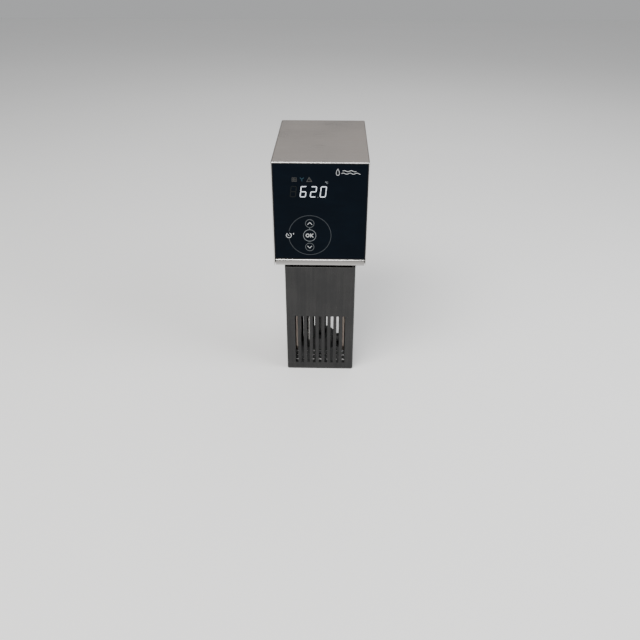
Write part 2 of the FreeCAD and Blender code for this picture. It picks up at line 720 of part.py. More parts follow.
def make_base_pan():
    piece = body("base_pan")
    sheet_in = S["PanSheet"]
    chin_top = under + S["ChinTall"]
    wall_top = under + S["PanWall"]
    ledge = pan_front + S["ChinLedge"]
    pad(piece, "X", -pan_half, pan_half, Outline(
        (pan_front, under), (rear_inner, under), (rear_inner, wall_top), (rear_inner - sheet_in, wall_top),
        (rear_inner - sheet_in, floor), (pan_front + sheet_in, floor),
        (pan_front + sheet_in, chin_top - sheet_in), (ledge, chin_top - sheet_in), (ledge, chin_top),
        (pan_front, chin_top)))
    bend = S["PanBend"]
    ease(piece, 0, bend, (pan_front, under), (pan_front, chin_top), (rear_inner, under))
    ease(piece, 0, bend - sheet_in, (pan_front + sheet_in, floor),
         (pan_front + sheet_in, chin_top - sheet_in), (rear_inner - sheet_in, floor))
    for side in SIDES:
        edge = side * (pan_half - S["ChinNotch"])
        outer = side * (half + PAST)
        left, right = (outer, edge) if side < 0 else (edge, outer)
        cut(piece, "Z", under - PAST, chin_top + PAST, oblong(left, front, right, ledge + PAST))
    for side in SIDES:
        wall_out = side * pan_half
        wall_in = side * (pan_half - sheet_in)
        low, high = (wall_out, wall_in) if side < 0 else (wall_in, wall_out)
        pad(piece, "X", low, high, oblong(ledge + S["WallStart"], under, rear_inner - bend, wall_top))
    for y, z in hood_screw_spots():
        cut(piece, "X", -pan_half, pan_half, Disc(y, z, hole))
    for x, z in rear_screw_spots():
        cut(piece, "Y", rear_inner - sheet_in, rear_inner, Disc(x, z, hole))
    cut(piece, "Z", under, floor, *entry_holes(S["BearingRound"], S["EntryPlay"]))
    cut(piece, "Z", under, floor, *[Disc(x, y, hole) for x, y in bracket_screw_spots()])
    vent_high = back - S["FloorVentAft"]
    vent_low = vent_high - S["FloorVentLong"]
    vents = []
    for number in range(-3, 4):
        middle = number * S["FloorVentPitch"]
        reach = S["FloorVentWide"] / 2
        vents.append(oblong(middle - reach, vent_low, middle + reach, vent_high))
    cut(piece, "Z", under, floor, *vents)


# ---------------------------------------------------------------- front: bezel, glass, boards

def make_bezel():
    piece = body("front_bezel")
    pad(piece, "Y", bezel_front, bezel_back, oblong(-bezel_half, bezel_low, bezel_half, bezel_high))
    ease(piece, 1, S["HoodBend"], (-bezel_half, bezel_high), (bezel_half, bezel_high))
    ledge_half = glass_half - S["BezelLedge"]
    cut(piece, "Y", bezel_front, bezel_back, oblong(
        -ledge_half, glass_low + S["BezelLedge"], ledge_half, glass_high - S["BezelLedge"]))
    seat = S["GlassPlay"]
    cut(piece, "Y", bezel_front, glass_back, oblong(
        -glass_half - seat, glass_low - seat, glass_half + seat, glass_high + seat))


def front_edges(shape, y):
    """Names of the edges that lie wholly in the plane at y."""
    names = []
    for number, edge in enumerate(shape.Edges, start=1):
        if all(abs(vertex.Y - now(y)) < 1e-3 for vertex in edge.Vertexes):
            names.append(f"Edge{number}")
    return names


def make_front_glass():
    piece = body("front_glass")
    slab = pad(piece, "Y", glass_front, glass_back, oblong(-glass_half, glass_low, glass_half, glass_high))
    edges = front_edges(piece.Shape, glass_front)
    bevel = piece.newObject("PartDesign::Chamfer", "Bevel")
    bevel.Base = (slab, edges)
    bevel.setExpression("Size", str(S["GlassBevel"]))
    settle(piece, bevel)


def board_corners(left, low, right, high):
    """Where the standoffs stand, inside a board's corners."""
    inset = S["BoardCorner"]
    return [(x, z) for x in (left + inset, right - inset) for z in (low + inset, high - inset)]


control_half = half - S["ControlInset"]
control_high = top - S["ControlDrop"]
control_low = fan_high + S["ControlGap"]
control_front = carrier_back + S["ControlLift"]
control_back = control_front + S["BoardThick"]
display_left = keys_x + S["DisplayAside"] - S["DisplayWide"] / 2
display_right = display_left + S["DisplayWide"]
display_low = digits_z + S["DisplayRise"] - S["DisplayTall"] / 2
display_high = display_low + S["DisplayTall"]


def make_panel_carrier():
    piece = body("panel_carrier")
    edge = S["CarrierInset"]
    pad(piece, "Y", bezel_back, carrier_back, oblong(
        -bezel_half + edge, bezel_low + edge, bezel_half - edge, bezel_high - edge))
    play = S["WindowPlay"]
    cut(piece, "Y", bezel_back, carrier_back, oblong(
        display_left - play, display_low - play, display_right + play, display_high + play))
    reach = S["TouchWindow"] / 2
    cut(piece, "Y", bezel_back, carrier_back, oblong(
        keys_x - reach, keys_z - reach, keys_x + reach, keys_z + reach))


def make_display_module():
    piece = body("display_module")
    face = glass_back + S["DisplayGap"]
    rim = S["DisplayRim"]
    pad(piece, "Y", face, carrier_back, oblong(display_left, display_low, display_right, display_high))
    pad(piece, "Y", carrier_back, carrier_back + S["BoardThick"], oblong(
        display_left - rim, display_low - rim, display_right + rim, display_high + rim))
    wide = S["FigureWide"] / 2
    tall = S["FigureTall"] / 2
    for place in range(4):
        middle = keys_x - S["FigureOut"] + place * S["FigurePitch"]
        cut(piece, "Y", face, face + S["FigureDeep"], oblong(
            middle - wide, digits_z - tall, middle + wide, digits_z + tall))


def make_touch_board():
    piece = body("touch_board")
    face = bezel_back - S["BoardThick"]
    wide = S["TouchWide"] / 2
    tall = S["TouchTall"] / 2
    pad(piece, "Y", face, bezel_back, oblong(keys_x - wide, keys_z - tall, keys_x + wide, keys_z + tall))


def make_touch_springs():
    length = bezel_back - S["BoardThick"] - glass_back
    spots = [(keys_x, keys_z + step * S["KeyPitch"]) for step in (-1, 0, 1)]
    spots.append((keys_x - S["TimerOut"], keys_z))
    node("touch_springs", *[rod((x, glass_back, z), "+Y", S["SpringRound"], length) for x, z in spots])


def make_control_board():
    piece = body("control_board")
    pad(piece, "Y", control_front, control_back, oblong(
        -control_half, control_low, control_half, control_high))
    middle = (control_low + control_high) / 2
    chips = [
        (-S["ChipOut"], S["ChipWide"] / 2, S["ChipWide"] / 2, S["ChipHigh"]),
        (-S["DriverOut"], S["DriverWide"] / 2, S["DriverTall"] / 2, S["ChipHigh"]),
        (S["PlugOut"], S["PlugWide"] / 2, S["PlugTall"] / 2, S["PlugHigh"]),
    ]
    for x, wide, tall, high in chips:
        pad(piece, "Y", control_back, control_back + high, oblong(
            x - wide, middle - tall, x + wide, middle + tall))
    for x, z in board_corners(-control_half, control_low, control_half, control_high):
        cut(piece, "Y", control_front, control_back, Disc(x, z, hole))


def standoffs(name, spots, direction, lift):
    """Posts that hold a board off a plate, each with a peg through the board."""
    posts = []
    for spot in spots:
        post = rod(spot, direction, S["PostRound"], lift)
        peg = rod(spot, direction, S["ScrewRound"], lift + S["BoardThick"] + S["PostPeg"])
        posts.append(fuse(post, peg))
    node(name, *posts)


def make_board_standoffs():
    corners = board_corners(-control_half, control_low, control_half, control_high)
    standoffs("board_standoffs", [(x, carrier_back, z) for x, z in corners], "+Y", S["ControlLift"])


# ---------------------------------------------------------------- drive

def make_motor_posts():
    offset = S["MotorPostOut"]
    spots = [(sx * offset, shaft_y + sy * offset, floor) for sx in SIDES for sy in SIDES]
    node("motor_posts", *[rod(spot, "+Z", S["MotorPostRound"], S["MotorLift"]) for spot in spots])


def make_motor_case():
    piece = body("motor_case")
    outer = S["MotorRound"]
    wall = S["MotorWall"]
    bore = S["BearingRound"] + S["BearingSeat"]
    plate = S["BearingTall"]
    turn(piece, "Y", shaft_y, "V_Axis", Outline(
        (bore, motor_low), (outer, motor_low), (outer, motor_high), (bore, motor_high),
        (bore, motor_high - plate), (outer - wall, motor_high - plate),
        (outer - wall, motor_low + plate), (bore, motor_low + plate)))
    reach = S["MotorVentWide"] / 2
    vent_low = motor_low + S["MotorVentRise"]
    cut(piece, "X", -outer - PAST, outer + PAST, oblong(
        shaft_y - reach, vent_low, shaft_y + reach, vent_low + S["MotorVentTall"]))


def make_motor_bearings():
    rings = []
    for low in (motor_low, motor_high - S["BearingTall"]):
        ring = rod((0, shaft_y, low), "+Z", S["BearingRound"], S["BearingTall"])
        bore = rod((0, shaft_y, low), "+Z", S["ShaftRound"] + S["RunPlay"], S["BearingTall"])
        rings.append(less(ring, bore))
    node("motor_bearings", *rings)


def make_stator():
    piece = body("stator")
    low = motor_low + S["BearingTall"] + S["StatorGap"]
    high = motor_high - S["BearingTall"] - S["StatorGap"]
    bore = S["RotorRound"] + S["AirGap"]
    outer = S["MotorRound"] - S["MotorWall"]
    slot_half = S["StatorSlot"] / 2
    pad(piece, "Z", low, high, Disc(0, 0, outer), Disc(0, 0, bore), middle=(0, shaft_y))
    slot = cut(piece, "Z", low, high, oblong(
        bore - PAST, -slot_half, outer - S["StatorYoke"], slot_half), middle=(0, shaft_y))
    around(piece, slot, 9)


def make_rotor_core():
    low = motor_low + S["BearingTall"] + S["RotorGap"]
    length = S["MotorTall"] - 2 * S["BearingTall"] - 2 * S["RotorGap"]
    core = rod((0, shaft_y, low), "+Z", S["RotorRound"], length)
    bore = rod((0, shaft_y, low), "+Z", S["ShaftRound"], length)
    node("rotor_core", less(core, bore))


def make_pump_shaft():
    node("pump_shaft", rod((0, shaft_y, wheel_low), "+Z", S["ShaftRound"], fan_high - wheel_low))


def make_vaned_wheel(name, low, plate, high, hub, radius, count, lean):
    """A hub and disc with upright vanes, pressed on the shaft."""
    piece = body(name)
    middle = (0, shaft_y)
    root = hub - S["VaneTip"]
    tip = radius - S["VaneTip"]
    thick = S["VaneThick"] / 2
    pad(piece, "Z", low, high, Disc(0, 0, hub), Disc(0, 0, S["ShaftRound"]), middle=middle)
    pad(piece, "Z", plate[0], plate[1], Disc(0, 0, radius), Disc(0, 0, S["ShaftRound"]), middle=middle)
    vane = pad(piece, "Z", low, high, Outline(
        (root, -thick), (tip, -thick - lean), (tip, thick - lean), (root, thick)), middle=middle)
    around(piece, vane, count)


def make_shaft_seal():
    ring = rod((0, shaft_y, flange_top), "+Z", S["BearingRound"] - S["SealPlay"], S["SealTall"])
    bore = rod((0, shaft_y, flange_top), "+Z", S["ShaftRound"] + S["RunPlay"], S["SealTall"])
    node("shaft_seal", less(ring, bore))


# ---------------------------------------------------------------- wet end

def wet_plate(name, low, high, shaft_hole, play):
    """A plate under the pan with a hole for everything that goes down into the water."""
    piece = body(name)
    deep = S["FlangeDeep"] / 2
    wide = S["FlangeWide"] / 2
    pad(piece, "Z", low, high, oblong(-wide, shaft_y - deep, wide, shaft_y + deep))
    ease(piece, 2, S["FlangeCorner"], *[(sx * wide, shaft_y + sy * deep) for sx in SIDES for sy in SIDES])
    cut(piece, "Z", low, high, *entry_holes(shaft_hole, play))


def make_pump_tube():
    outer = rod((0, shaft_y, tube_low), "+Z", S["TubeRound"], S["TubeLong"])
    bore = rod((0, shaft_y, tube_low), "+Z", tube_bore, S["TubeLong"])
    node("pump_tube", less(outer, bore))


def make_lower_bush():
    outer = rod((0, shaft_y, tube_low), "+Z", tube_bore - S["LowerBushSeat"], S["LowerBushTall"])
    bore = rod((0, shaft_y, tube_low), "+Z", S["ShaftRound"] + S["RunPlay"], S["LowerBushTall"])
    node("lower_bush", less(outer, bore))


def make_pump_housing():
    piece = body("pump_housing")
    outer = S["PumpRound"]
    wall = S["PumpWall"]
    eye = S["ShaftRound"] + S["PumpEye"]
    turn(piece, "Y", shaft_y, "V_Axis", Outline(
        (eye, tube_low), (eye, tube_low - wall), (outer - wall, tube_low - wall),
        (outer - wall, pump_low), (outer, pump_low), (outer, tube_low)))
    cut(piece, "X", Size(0), outer + PAST, Disc(shaft_y, spout_z, S["SpoutRound"] + S["EntryPlay"]))


def make_outlet_spout():
    start = (S["PumpRound"] - S["SpoutRoot"], shaft_y, spout_z)
    outer = rod(start, "+X", S["SpoutRound"], S["SpoutLong"])
    bore = rod(start, "+X", S["SpoutRound"] - S["SpoutWall"], S["SpoutLong"])
    node("outlet_spout", less(outer, bore))


def make_intake_cover():
    piece = body("intake_cover")
    low = pump_low - S["IntakeThick"]
    middle = (0, shaft_y)
    near, far = S["IntakeNear"], S["IntakeFar"]
    narrow, broad = S["IntakeNarrow"] / 2, S["IntakeBroad"] / 2
    pad(piece, "Z", low, pump_low, Disc(0, 0, S["PumpRound"]), middle=middle)
    window = cut(piece, "Z", low, pump_low, Outline(
        (near, -narrow), (far, -broad), (far, broad), (near, narrow)), middle=middle)
    around(piece, window, 8)


def heater_hairpin(x):
    """One bent tube: two straight legs joined by a half circle below, its cold ends up in the head."""
    legs_low = now(flange_low - S["HeaterLong"] + S["HeaterBend"])
    high = now(floor + S["HeaterHigh"])
    x, y, reach = now(x), now(shaft_y), now(S["HeaterBend"])
    fore = Part.LineSegment(FreeCAD.Vector(x, y - reach, high), FreeCAD.Vector(x, y - reach, legs_low))
    bend = Part.Arc(FreeCAD.Vector(x, y - reach, legs_low), FreeCAD.Vector(x, y, legs_low - reach),
                    FreeCAD.Vector(x, y + reach, legs_low))
    aft = Part.LineSegment(FreeCAD.Vector(x, y + reach, legs_low), FreeCAD.Vector(x, y + reach, high))
    path = Part.Wire([fore.toShape(), bend.toShape(), aft.toShape()])
    start = FreeCAD.Vector(x, y - reach, high)
    ring = Part.Circle(start, FreeCAD.Vector(0, 0, 1), now(S["HeaterRound"]))
    return path.makePipeShell([Part.Wire([ring.toShape()])], True, False)


def make_heaters():
    piece = doc.addObject("Part::Feature", "heater_hairpins")
    piece.Shape = Part.Compound([heater_hairpin(side * S["HeaterOut"]) for side in SIDES])
    node("heater_hairpins", piece)


def make_heater_nuts():
    nuts = []
    for x, y in heater_spots:
        blank = hexagon((x, y, floor), "+Z", S["NutAcross"], S["NutTall"])
        bore = rod((x, y, floor), "+Z", S["HeaterRound"] + S["FlangeSeat"], S["NutTall"])
        nuts.append(less(blank, bore))
    node("heater_nuts", *nuts)


def make_probe(name, spot, reach):
    """A rod with a tapered tip, held by a collar that rests on the pan."""
    piece = body(name)
    low = flange_low - reach
    radius = S["ProbeRound"]
    collar = radius + S["CollarRim"]
    collar_high = floor + S["ProbeCollar"]
    high = floor + S["ProbeHigh"]
    turn(piece, "Y", spot[1], "V_Axis", Outline(
        (Size(0), low), (S["ProbeTip"], low), (radius, low + radius), (radius, floor), (collar, floor),
        (collar, collar_high), (radius, collar_high), (radius, high), (Size(0), high)),
        middle=(spot[0], 0))


float_low = flange_low - S["FloatDrop"]


def make_float_stem():
    piece = body("float_stem")
    radius = S["StemRound"]
    foot = float_low - S["StemFoot"]
    stop = float_low + S["FloatTall"] + S["FloatRise"] + S["StopPlay"]
    stop_high = stop + S["StopTall"]
    stop_rim = radius + S["StopRim"]
    collar = radius + S["CollarRim"]
    high = floor + S["StemCollar"]
    turn(piece, "Y", stem_y, "V_Axis", Outline(
        (Size(0), foot), (radius, foot), (radius, stop), (stop_rim, stop), (stop_rim, stop_high),
        (radius, stop_high), (radius, floor), (collar, floor), (collar, high), (Size(0), high)))


def make_float_clip():
    start = (Size(0), stem_y, float_low - S["ClipDrop"])
    disc = rod(start, "+Z", S["StemRound"] + S["CollarRim"], S["ClipTall"])
    node("float_clip", less(disc, rod(start, "+Z", S["StemRound"], S["ClipTall"])))


def make_level_float():
    start = (Size(0), stem_y, float_low)
    ring = rod(start, "+Z", S["FloatRound"], S["FloatTall"])
    bore = rod(start, "+Z", S["StemRound"] + S["FloatPlay"], S["FloatTall"])
    node("level_float", less(ring, bore))


# ---------------------------------------------------------------- guard

hanger_screw_z = guard_top - S["HangerScrewDrop"]
hanger_screw_ys = [shaft_y + side * S["HangerScrewPitch"] / 2 for side in SIDES]


def guard_ring(inset):
    """The guard's outline, moved in by `inset`."""
    return oblong(-guard_half + inset, guard_front + inset, guard_half - inset, guard_back - inset)


def guard_corners(inset):
    """The four corners of that outline."""
    ys = (guard_front + inset, guard_back - inset)
    return [(side * (guard_half - inset), y) for side in SIDES for y in ys]


def slots_about(middle, count):
    """An odd number of the guard's slots, side by side about a middle."""
    low = guard_low + S["SlotLift"]
    wide = S["SlotRound"]
    spots = [middle + (number - count // 2) * S["SlotPitch"] for number in range(count)]
    return [oblong(spot - wide, low, spot + wide, low + S["SlotLong"]) for spot in spots]


def make_guard():
    piece = body("guard_shell")
    wall = S["GuardSheet"]
    pad(piece, "Z", guard_low + S["GuardFoot"], guard_top, guard_ring(0), guard_ring(wall))
    ease(piece, 2, S["GuardBend"] - wall, *guard_corners(wall))
    ease(piece, 2, S["GuardBend"], *guard_corners(0))
    cut(piece, "Y", guard_front - PAST, guard_back + PAST, *slots_about(0, 9))
    middle = (guard_front + guard_back) / 2
    cut(piece, "X", -guard_half - PAST, guard_half + PAST, *slots_about(middle, 5))
    screw_holes = [Disc(y, hanger_screw_z, hole) for y in hanger_screw_ys]
    cut(piece, "X", -guard_half - PAST, guard_half + PAST, *screw_holes)


def make_guard_base():
    piece = body("guard_base")
    high = guard_low + S["GuardFoot"]
    pad(piece, "Z", guard_low, high, guard_ring(0))
    ease(piece, 2, S["GuardBend"], *guard_corners(0))
    holes = []
    for column in range(-3, 4):
        for row in range(-2, 3):
            holes.append(Disc(column * S["FootPitch"], shaft_y + row * S["FootPitch"], S["FootHole"]))
    cut(piece, "Z", guard_low, high, *holes)


def make_guard_hangers():
    """Two angle brackets from the flange down inside the guard's sides."""
    hangers = []
    outer = guard_half - S["GuardSheet"]
    inner = outer - S["HangerSheet"]
    shelf = outer - S["HangerFoot"]
    fore = shaft_y - S["HangerWide"] / 2
    aft = fore + S["HangerWide"]
    low = hanger_screw_z - S["HangerEdge"]
    shelf_low = flange_low - S["HangerSheet"]
    for side in SIDES:
        tab_x = (-outer, -inner) if side < 0 else (inner, outer)
        shelf_x = (-outer, -shelf) if side < 0 else (shelf, outer)
        tab = block((tab_x[0], fore, low), (tab_x[1], aft, flange_low))
        foot = block((shelf_x[0], fore, shelf_low), (shelf_x[1], aft, flange_low))
        length = S["HangerSheet"] + 2 * PAST
        bores = [rod((tab_x[0] - PAST, y, hanger_screw_z), "+X", hole, length) for y in hanger_screw_ys]
        hangers.append(less(fuse(tab, foot), fuse(*bores)))
    node("guard_hangers", *hangers)


def make_guard_screws():
    screws = []
    for side, outward in zip(SIDES, ("-X", "+X")):
        for y in hanger_screw_ys:
            screws.append(screw((side * guard_half, y, hanger_screw_z), outward, S["HangerScrewLong"]))
    node("guard_screws", *screws)


# ---------------------------------------------------------------- clamp

leg_out = S["ThroatDeep"]
jaw_back = -S["JawRubber"]
cup_front = S["RestGap"] + S["PadThick"]
cup_plate = cup_front + S["CupPlate"]
cup_back = cup_front + S["CupDeep"]
ball_round = S["SpindleRound"] - S["BallStep"]
knob_back = cup_back + S["SpindleLong"] + S["KnobPast"]
knob_front = knob_back - S["KnobDeep"]
knob_seat = knob_back - S["KnobSkin"]


def make_clamp_bracket():
    piece = body("clamp_bracket")
    wide = S["JawWide"] / 2
    thick = S["JawSheet"]
    web = under - thick
    inner_low = -S["JawTall"] / 2 - S["JawRim"]
    outer_low = -S["SpindleRound"] - S["LegBelow"]
    pad(piece, "X", -wide, wide, Outline(
        (jaw_back - thick, inner_low), (jaw_back, inner_low), (jaw_back, web), (leg_out, web),
        (leg_out, outer_low), (leg_out + thick, outer_low), (leg_out + thick, under),
        (jaw_back - thick, under)))
    bend = S["BracketBend"]
    ease(piece, 0, thick + bend, (jaw_back - thick, under), (leg_out + thick, under))
    ease(piece, 0, bend, (jaw_back, web), (leg_out, web))
    cut(piece, "Y", leg_out, leg_out + thick, Disc(0, 0, S["SpindleRound"] + S["LegPlay"]))
    cut(piece, "Z", web, under, *[Disc(x, y, hole) for x, y in bracket_screw_spots()])


def make_bracket_screws():
    length = S["JawSheet"] + S["PanSheet"] + S["BracketScrewRise"]
    seat = under - S["JawSheet"]
    node("bracket_screws", *[screw((x, y, seat), "-Z", length) for x, y in bracket_screw_spots()])


def make_jaw_pad():
    wide = S["JawWide"] / 2 - S["JawRim"]
    tall = S["JawTall"] / 2
    node("jaw_pad", block((-wide, jaw_back, -tall), (wide, Size(0), tall)))


def make_threaded_bush():
    start = (Size(0), leg_out + S["JawSheet"], Size(0))
    nut = hexagon(start, "+Y", S["BushAcross"], S["BushLong"])
    node("threaded_bush", less(nut, rod(start, "+Y", S["SpindleRound"] + S["RunPlay"], S["BushLong"])))


def make_pressure_pad():
    node("pressure_pad", rod((Size(0), S["RestGap"], Size(0)), "+Y", S["PadRound"], S["PadThick"]))


def make_pad_cup():
    piece = body("pad_cup")
    rim = S["PadRound"] - S["CupInset"]
    bore = ball_round + S["RunPlay"]
    neck = S["SpindleRound"] + S["CupNeck"]
    turn(piece, "X", Size(0), "H_Axis", Outline(
        (cup_front, Size(0)), (cup_front, rim), (cup_plate, rim), (cup_back, neck), (cup_back, bore),
        (cup_plate, bore), (cup_plate, Size(0))))


def make_spindle():
    piece = body("clamp_spindle")
    start = cup_plate + S["BallGap"]
    shoulder = cup_back + S["ShoulderGap"]
    turn(piece, "X", Size(0), "H_Axis", Outline(
        (start, Size(0)), (start, ball_round), (shoulder, ball_round), (shoulder, S["SpindleRound"]),
        (knob_seat, S["SpindleRound"]), (knob_seat, Size(0))))


def make_knob():
    piece = body("clamp_knob")
    radius = S["KnobRound"]
    pad(piece, "Y", knob_front, knob_back, Disc(0, 0, radius))
    flute = cut(piece, "Y", knob_front, knob_back, Disc(radius + S["FluteOut"], 0, S["FluteRound"]))
    around(piece, flute, 7)
    cut(piece, "Y", knob_front, knob_seat, Disc(0, 0, S["SpindleRound"]))
    cut(piece, "Y", knob_back - S["CapSeat"], knob_back, Disc(0, 0, S["CapRound"]))


def make_knob_cap():
    seat = (Size(0), knob_back - S["CapSeat"], Size(0))
    node("knob_cap", rod(seat, "+Y", S["CapRound"] - S["CapPlay"], S["CapThick"]))


# ---------------------------------------------------------------- rear panel and mains parts

rear_z = under + S["RearRise"]
inlet_x = -S["InletLeft"]
inlet_inside = rear_inner - S["InletDeep"]
inlet_face = rear_outer + S["FaceThick"]
inlet_screw_xs = [inlet_x + side * S["InletScrewOut"] for side in SIDES]
switch_x = S["SwitchRight"]
breaker_x = S["BreakerRight"]


def oblong_about(x, z, wide, tall, more=0):
    """A rectangle about its middle, larger by `more` on every side."""
    return oblong(x - wide / 2 - more, z - tall / 2 - more, x + wide / 2 + more, z + tall / 2 + more)


def corners_about(x, z, wide, tall):
    """The four corners of that rectangle."""
    return [(x + sx * wide / 2, z + sz * tall / 2) for sx in SIDES for sz in SIDES]


def make_rear_panel():
    piece = body("rear_panel")
    side = inner_half - S["SidePlay"]
    high = top - S["HoodSheet"] - S["SidePlay"]
    pad(piece, "Y", rear_inner, rear_outer, oblong(-side, under + S["RearLift"], side, high))
    ease(piece, 1, S["HoodBend"], (-side, high), (side, high))
    play = S["CutoutPlay"]
    openings = [oblong_about(inlet_x, rear_z, S["InletWide"], S["InletTall"], play)]
    openings.append(oblong_about(switch_x, rear_z, S["SwitchWide"], S["SwitchTall"], play))
    openings.append(Disc(breaker_x, rear_z, S["ButtonRound"] + S["BreakerNeck"] + S["EntryPlay"]))
    openings += [Disc(x, rear_z, hole) for x in inlet_screw_xs]
    openings += [Disc(x, z, hole) for x, z in rear_screw_spots()]
    cut(piece, "Y", rear_inner, rear_outer, *openings)
    vents = []
    for column in range(-5, 6):
        for row in range(2):
            z = top - S["RearVentDrop"] - row * S["RearVentRow"]
            vents.append(oblong_about(column * S["RearVentPitch"], z, S["RearVentWide"], S["RearVentLong"]))
    cut(piece, "Y", rear_inner, rear_outer, *vents)


def make_mains_inlet():
    piece = body("mains_inlet")
    pad(piece, "Y", rear_outer, inlet_face, oblong_about(inlet_x, rear_z, S["FaceWide"], S["FaceTall"]))
    ease(piece, 1, S["FaceCorner"], *corners_about(inlet_x, rear_z, S["FaceWide"], S["FaceTall"]))
    pad(piece, "Y", inlet_inside, rear_outer, oblong_about(inlet_x, rear_z, S["InletWide"], S["InletTall"]))
    left = inlet_x - S["InletWide"] / 2 + S["InletWall"]
    right = inlet_x + S["InletWide"] / 2 - S["InletWall"]
    low = rear_z - S["InletTall"] / 2 + S["InletWall"]
    high = rear_z + S["InletTall"] / 2 - S["InletWall"]
    corner = S["InletChamfer"]
    pin_root = inlet_inside + S["InletFloor"]
    cut(piece, "Y", pin_root, inlet_face, Outline(
        (left, low), (right, low), (right, high - corner), (right - corner, high),
        (left + corner, high), (left, high - corner)))
    cut(piece, "Y", rear_outer, inlet_face, *[Disc(x, rear_z, hole) for x in inlet_screw_xs])
    slots = [oblong_about(x, z, S["PinWide"], S["PinThick"]) for x, z in inlet_pin_spots()]
    cut(piece, "Y", inlet_inside, pin_root, *slots)


def inlet_pin_spots():
    """Line, earth and neutral."""
    low = rear_z - S["PinBelow"]
    high = rear_z + S["EarthAbove"]
    return [(inlet_x - S["PinPitch"], low), (inlet_x, high), (inlet_x + S["PinPitch"], low)]


def make_inlet_pins():
    tail = inlet_inside - S["PinTail"]
    tip = rear_inner - S["PinShort"]
    wide, thick = S["PinWide"] / 2, S["PinThick"] / 2
    pins = [block((x - wide, tail, z - thick), (x + wide, tip, z + thick)) for x, z in inlet_pin_spots()]
    node("inlet_pins", *pins)


def make_casing_screws():
    """The hood's, the rear panel's and the inlet's screws, which are all the same."""
    length = S["ScrewLong"]
    screws = []
    for y, z in hood_screw_spots():
        screws.append(screw((-half, y, z), "-X", length))
        screws.append(screw((half, y, z), "+X", length))
    screws += [screw((x, rear_outer, z), "+Y", length) for x, z in rear_screw_spots()]
    screws += [screw((x, inlet_face, rear_z), "+Y", length) for x in inlet_screw_xs]
    node("casing_screws", *screws)


rocker_y = rear_outer - S["RockerSunk"]


def make_switch_body():
    piece = body("switch_body")
    rim = S["SwitchRim"]
    face = rear_outer + rim
    inside = rear_inner - S["SwitchDeep"]
    face_wide = S["SwitchWide"] + 2 * rim
    face_tall = S["SwitchTall"] + 2 * rim
    pad(piece, "Y", rear_outer, face, oblong_about(switch_x, rear_z, face_wide, face_tall))
    ease(piece, 1, rim, *corners_about(switch_x, rear_z, face_wide, face_tall))
    pad(piece, "Y", inside, rear_outer, oblong_about(switch_x, rear_z, S["SwitchWide"], S["SwitchTall"]))
    well = oblong_about(switch_x, rear_z, S["RockerWide"], 2 * S["RockerRound"], S["RockerPlay"])
    cut(piece, "Y", inside + S["SwitchFloor"], face, well)
    socket = S["RockerWide"] / 2 + S["RockerPlay"] + S["PinReach"] + S["PinEnd"]
    bore = S["PinRound"] + S["RunPlay"]
    cut(piece, "X", switch_x - socket, switch_x + socket, Disc(rocker_y, rear_z, bore))


def make_rocker():
    """A drum about its pins, flattened behind, its front leaning out at the upper end."""
    piece = body("power_rocker")
    wide = S["RockerWide"] / 2
    radius = S["RockerRound"]
    pin_reach = wide + S["RockerPlay"] + S["PinReach"]
    pad(piece, "X", switch_x - pin_reach, switch_x + pin_reach, Disc(rocker_y, rear_z, S["PinRound"]))
    pad(piece, "X", switch_x - wide, switch_x + wide, Disc(rocker_y, rear_z, radius))
    far = rocker_y + radius + PAST
    high = rear_z + radius + PAST
    low = rear_z - radius - PAST
    face = rocker_y + S["RockerFace"]
    cut(piece, "X", switch_x - wide, switch_x + wide, Outline(
        (face, rear_z), (face + S["RockerLean"], high), (far, high), (far, low), (face, low)))
    cut(piece, "X", switch_x - wide, switch_x + wide, oblong(
        rocker_y - radius - PAST, low, rocker_y - S["RockerFoot"], high))


def make_breaker_body():
    piece = body("breaker_body")
    button = S["ButtonRound"]
    sleeve = button + S["ButtonPlay"]
    inside = rear_inner - S["BreakerDeep"]
    face = rear_outer + S["BreakerOut"]
    trunk = button + S["BreakerBack"]
    neck = button + S["BreakerNeck"]
    collar = button + S["BreakerFace"]
    turn(piece, "X", breaker_x, "H_Axis", Outline(
        (inside, sleeve), (inside, trunk), (rear_inner, trunk), (rear_inner, neck), (rear_outer, neck),
        (rear_outer, collar), (face, collar), (face, sleeve)), middle=(0, rear_z))


def make_breaker_button():
    start = rear_inner - S["ButtonDeep"]
    length = rear_outer + S["ButtonOut"] - start
    node("breaker_button", rod((breaker_x, start, rear_z), "+Y", S["ButtonRound"], length))


# ---------------------------------------------------------------- power electronics

power_half = S["PowerWide"] / 2
power_fore = shaft_y + S["MotorRound"] + S["BayGap"]
power_aft = power_fore + S["PowerDeep"]
power_low = floor + S["PowerLift"]
power_top = power_low + S["BoardThick"]


def make_power_board():
    piece = body("power_board")
    pad(piece, "Z", power_low, power_top, oblong(-power_half, power_fore, power_half, power_aft))
    spots = board_corners(-power_half, power_fore, power_half, power_aft)
    cut(piece, "Z", power_low, power_top, *[Disc(x, y, hole) for x, y in spots])


def make_power_standoffs():
    corners = board_corners(-power_half, power_fore, power_half, power_aft)
    standoffs("power_standoffs", [(x, y, floor) for x, y in corners], "+Z", S["PowerLift"])


def make_heat_sink():
    """An upright plate with fins that point to the middle of the head."""
    piece = body("heat_sink")
    plate = -S["SinkOut"] + S["SinkPlate"]
    fore = power_fore + S["SinkFore"]
    aft = fore + S["SinkLong"]
    pad(piece, "X", -S["SinkOut"], plate, oblong(fore, power_top, aft, power_top + S["SinkTall"]))
    for number in range(8):
        z = power_top + S["FinThick"] + number * S["FinPitch"]
        pad(piece, "X", plate, plate + S["SinkFin"], oblong(fore, z, aft, z + S["FinThick"]))


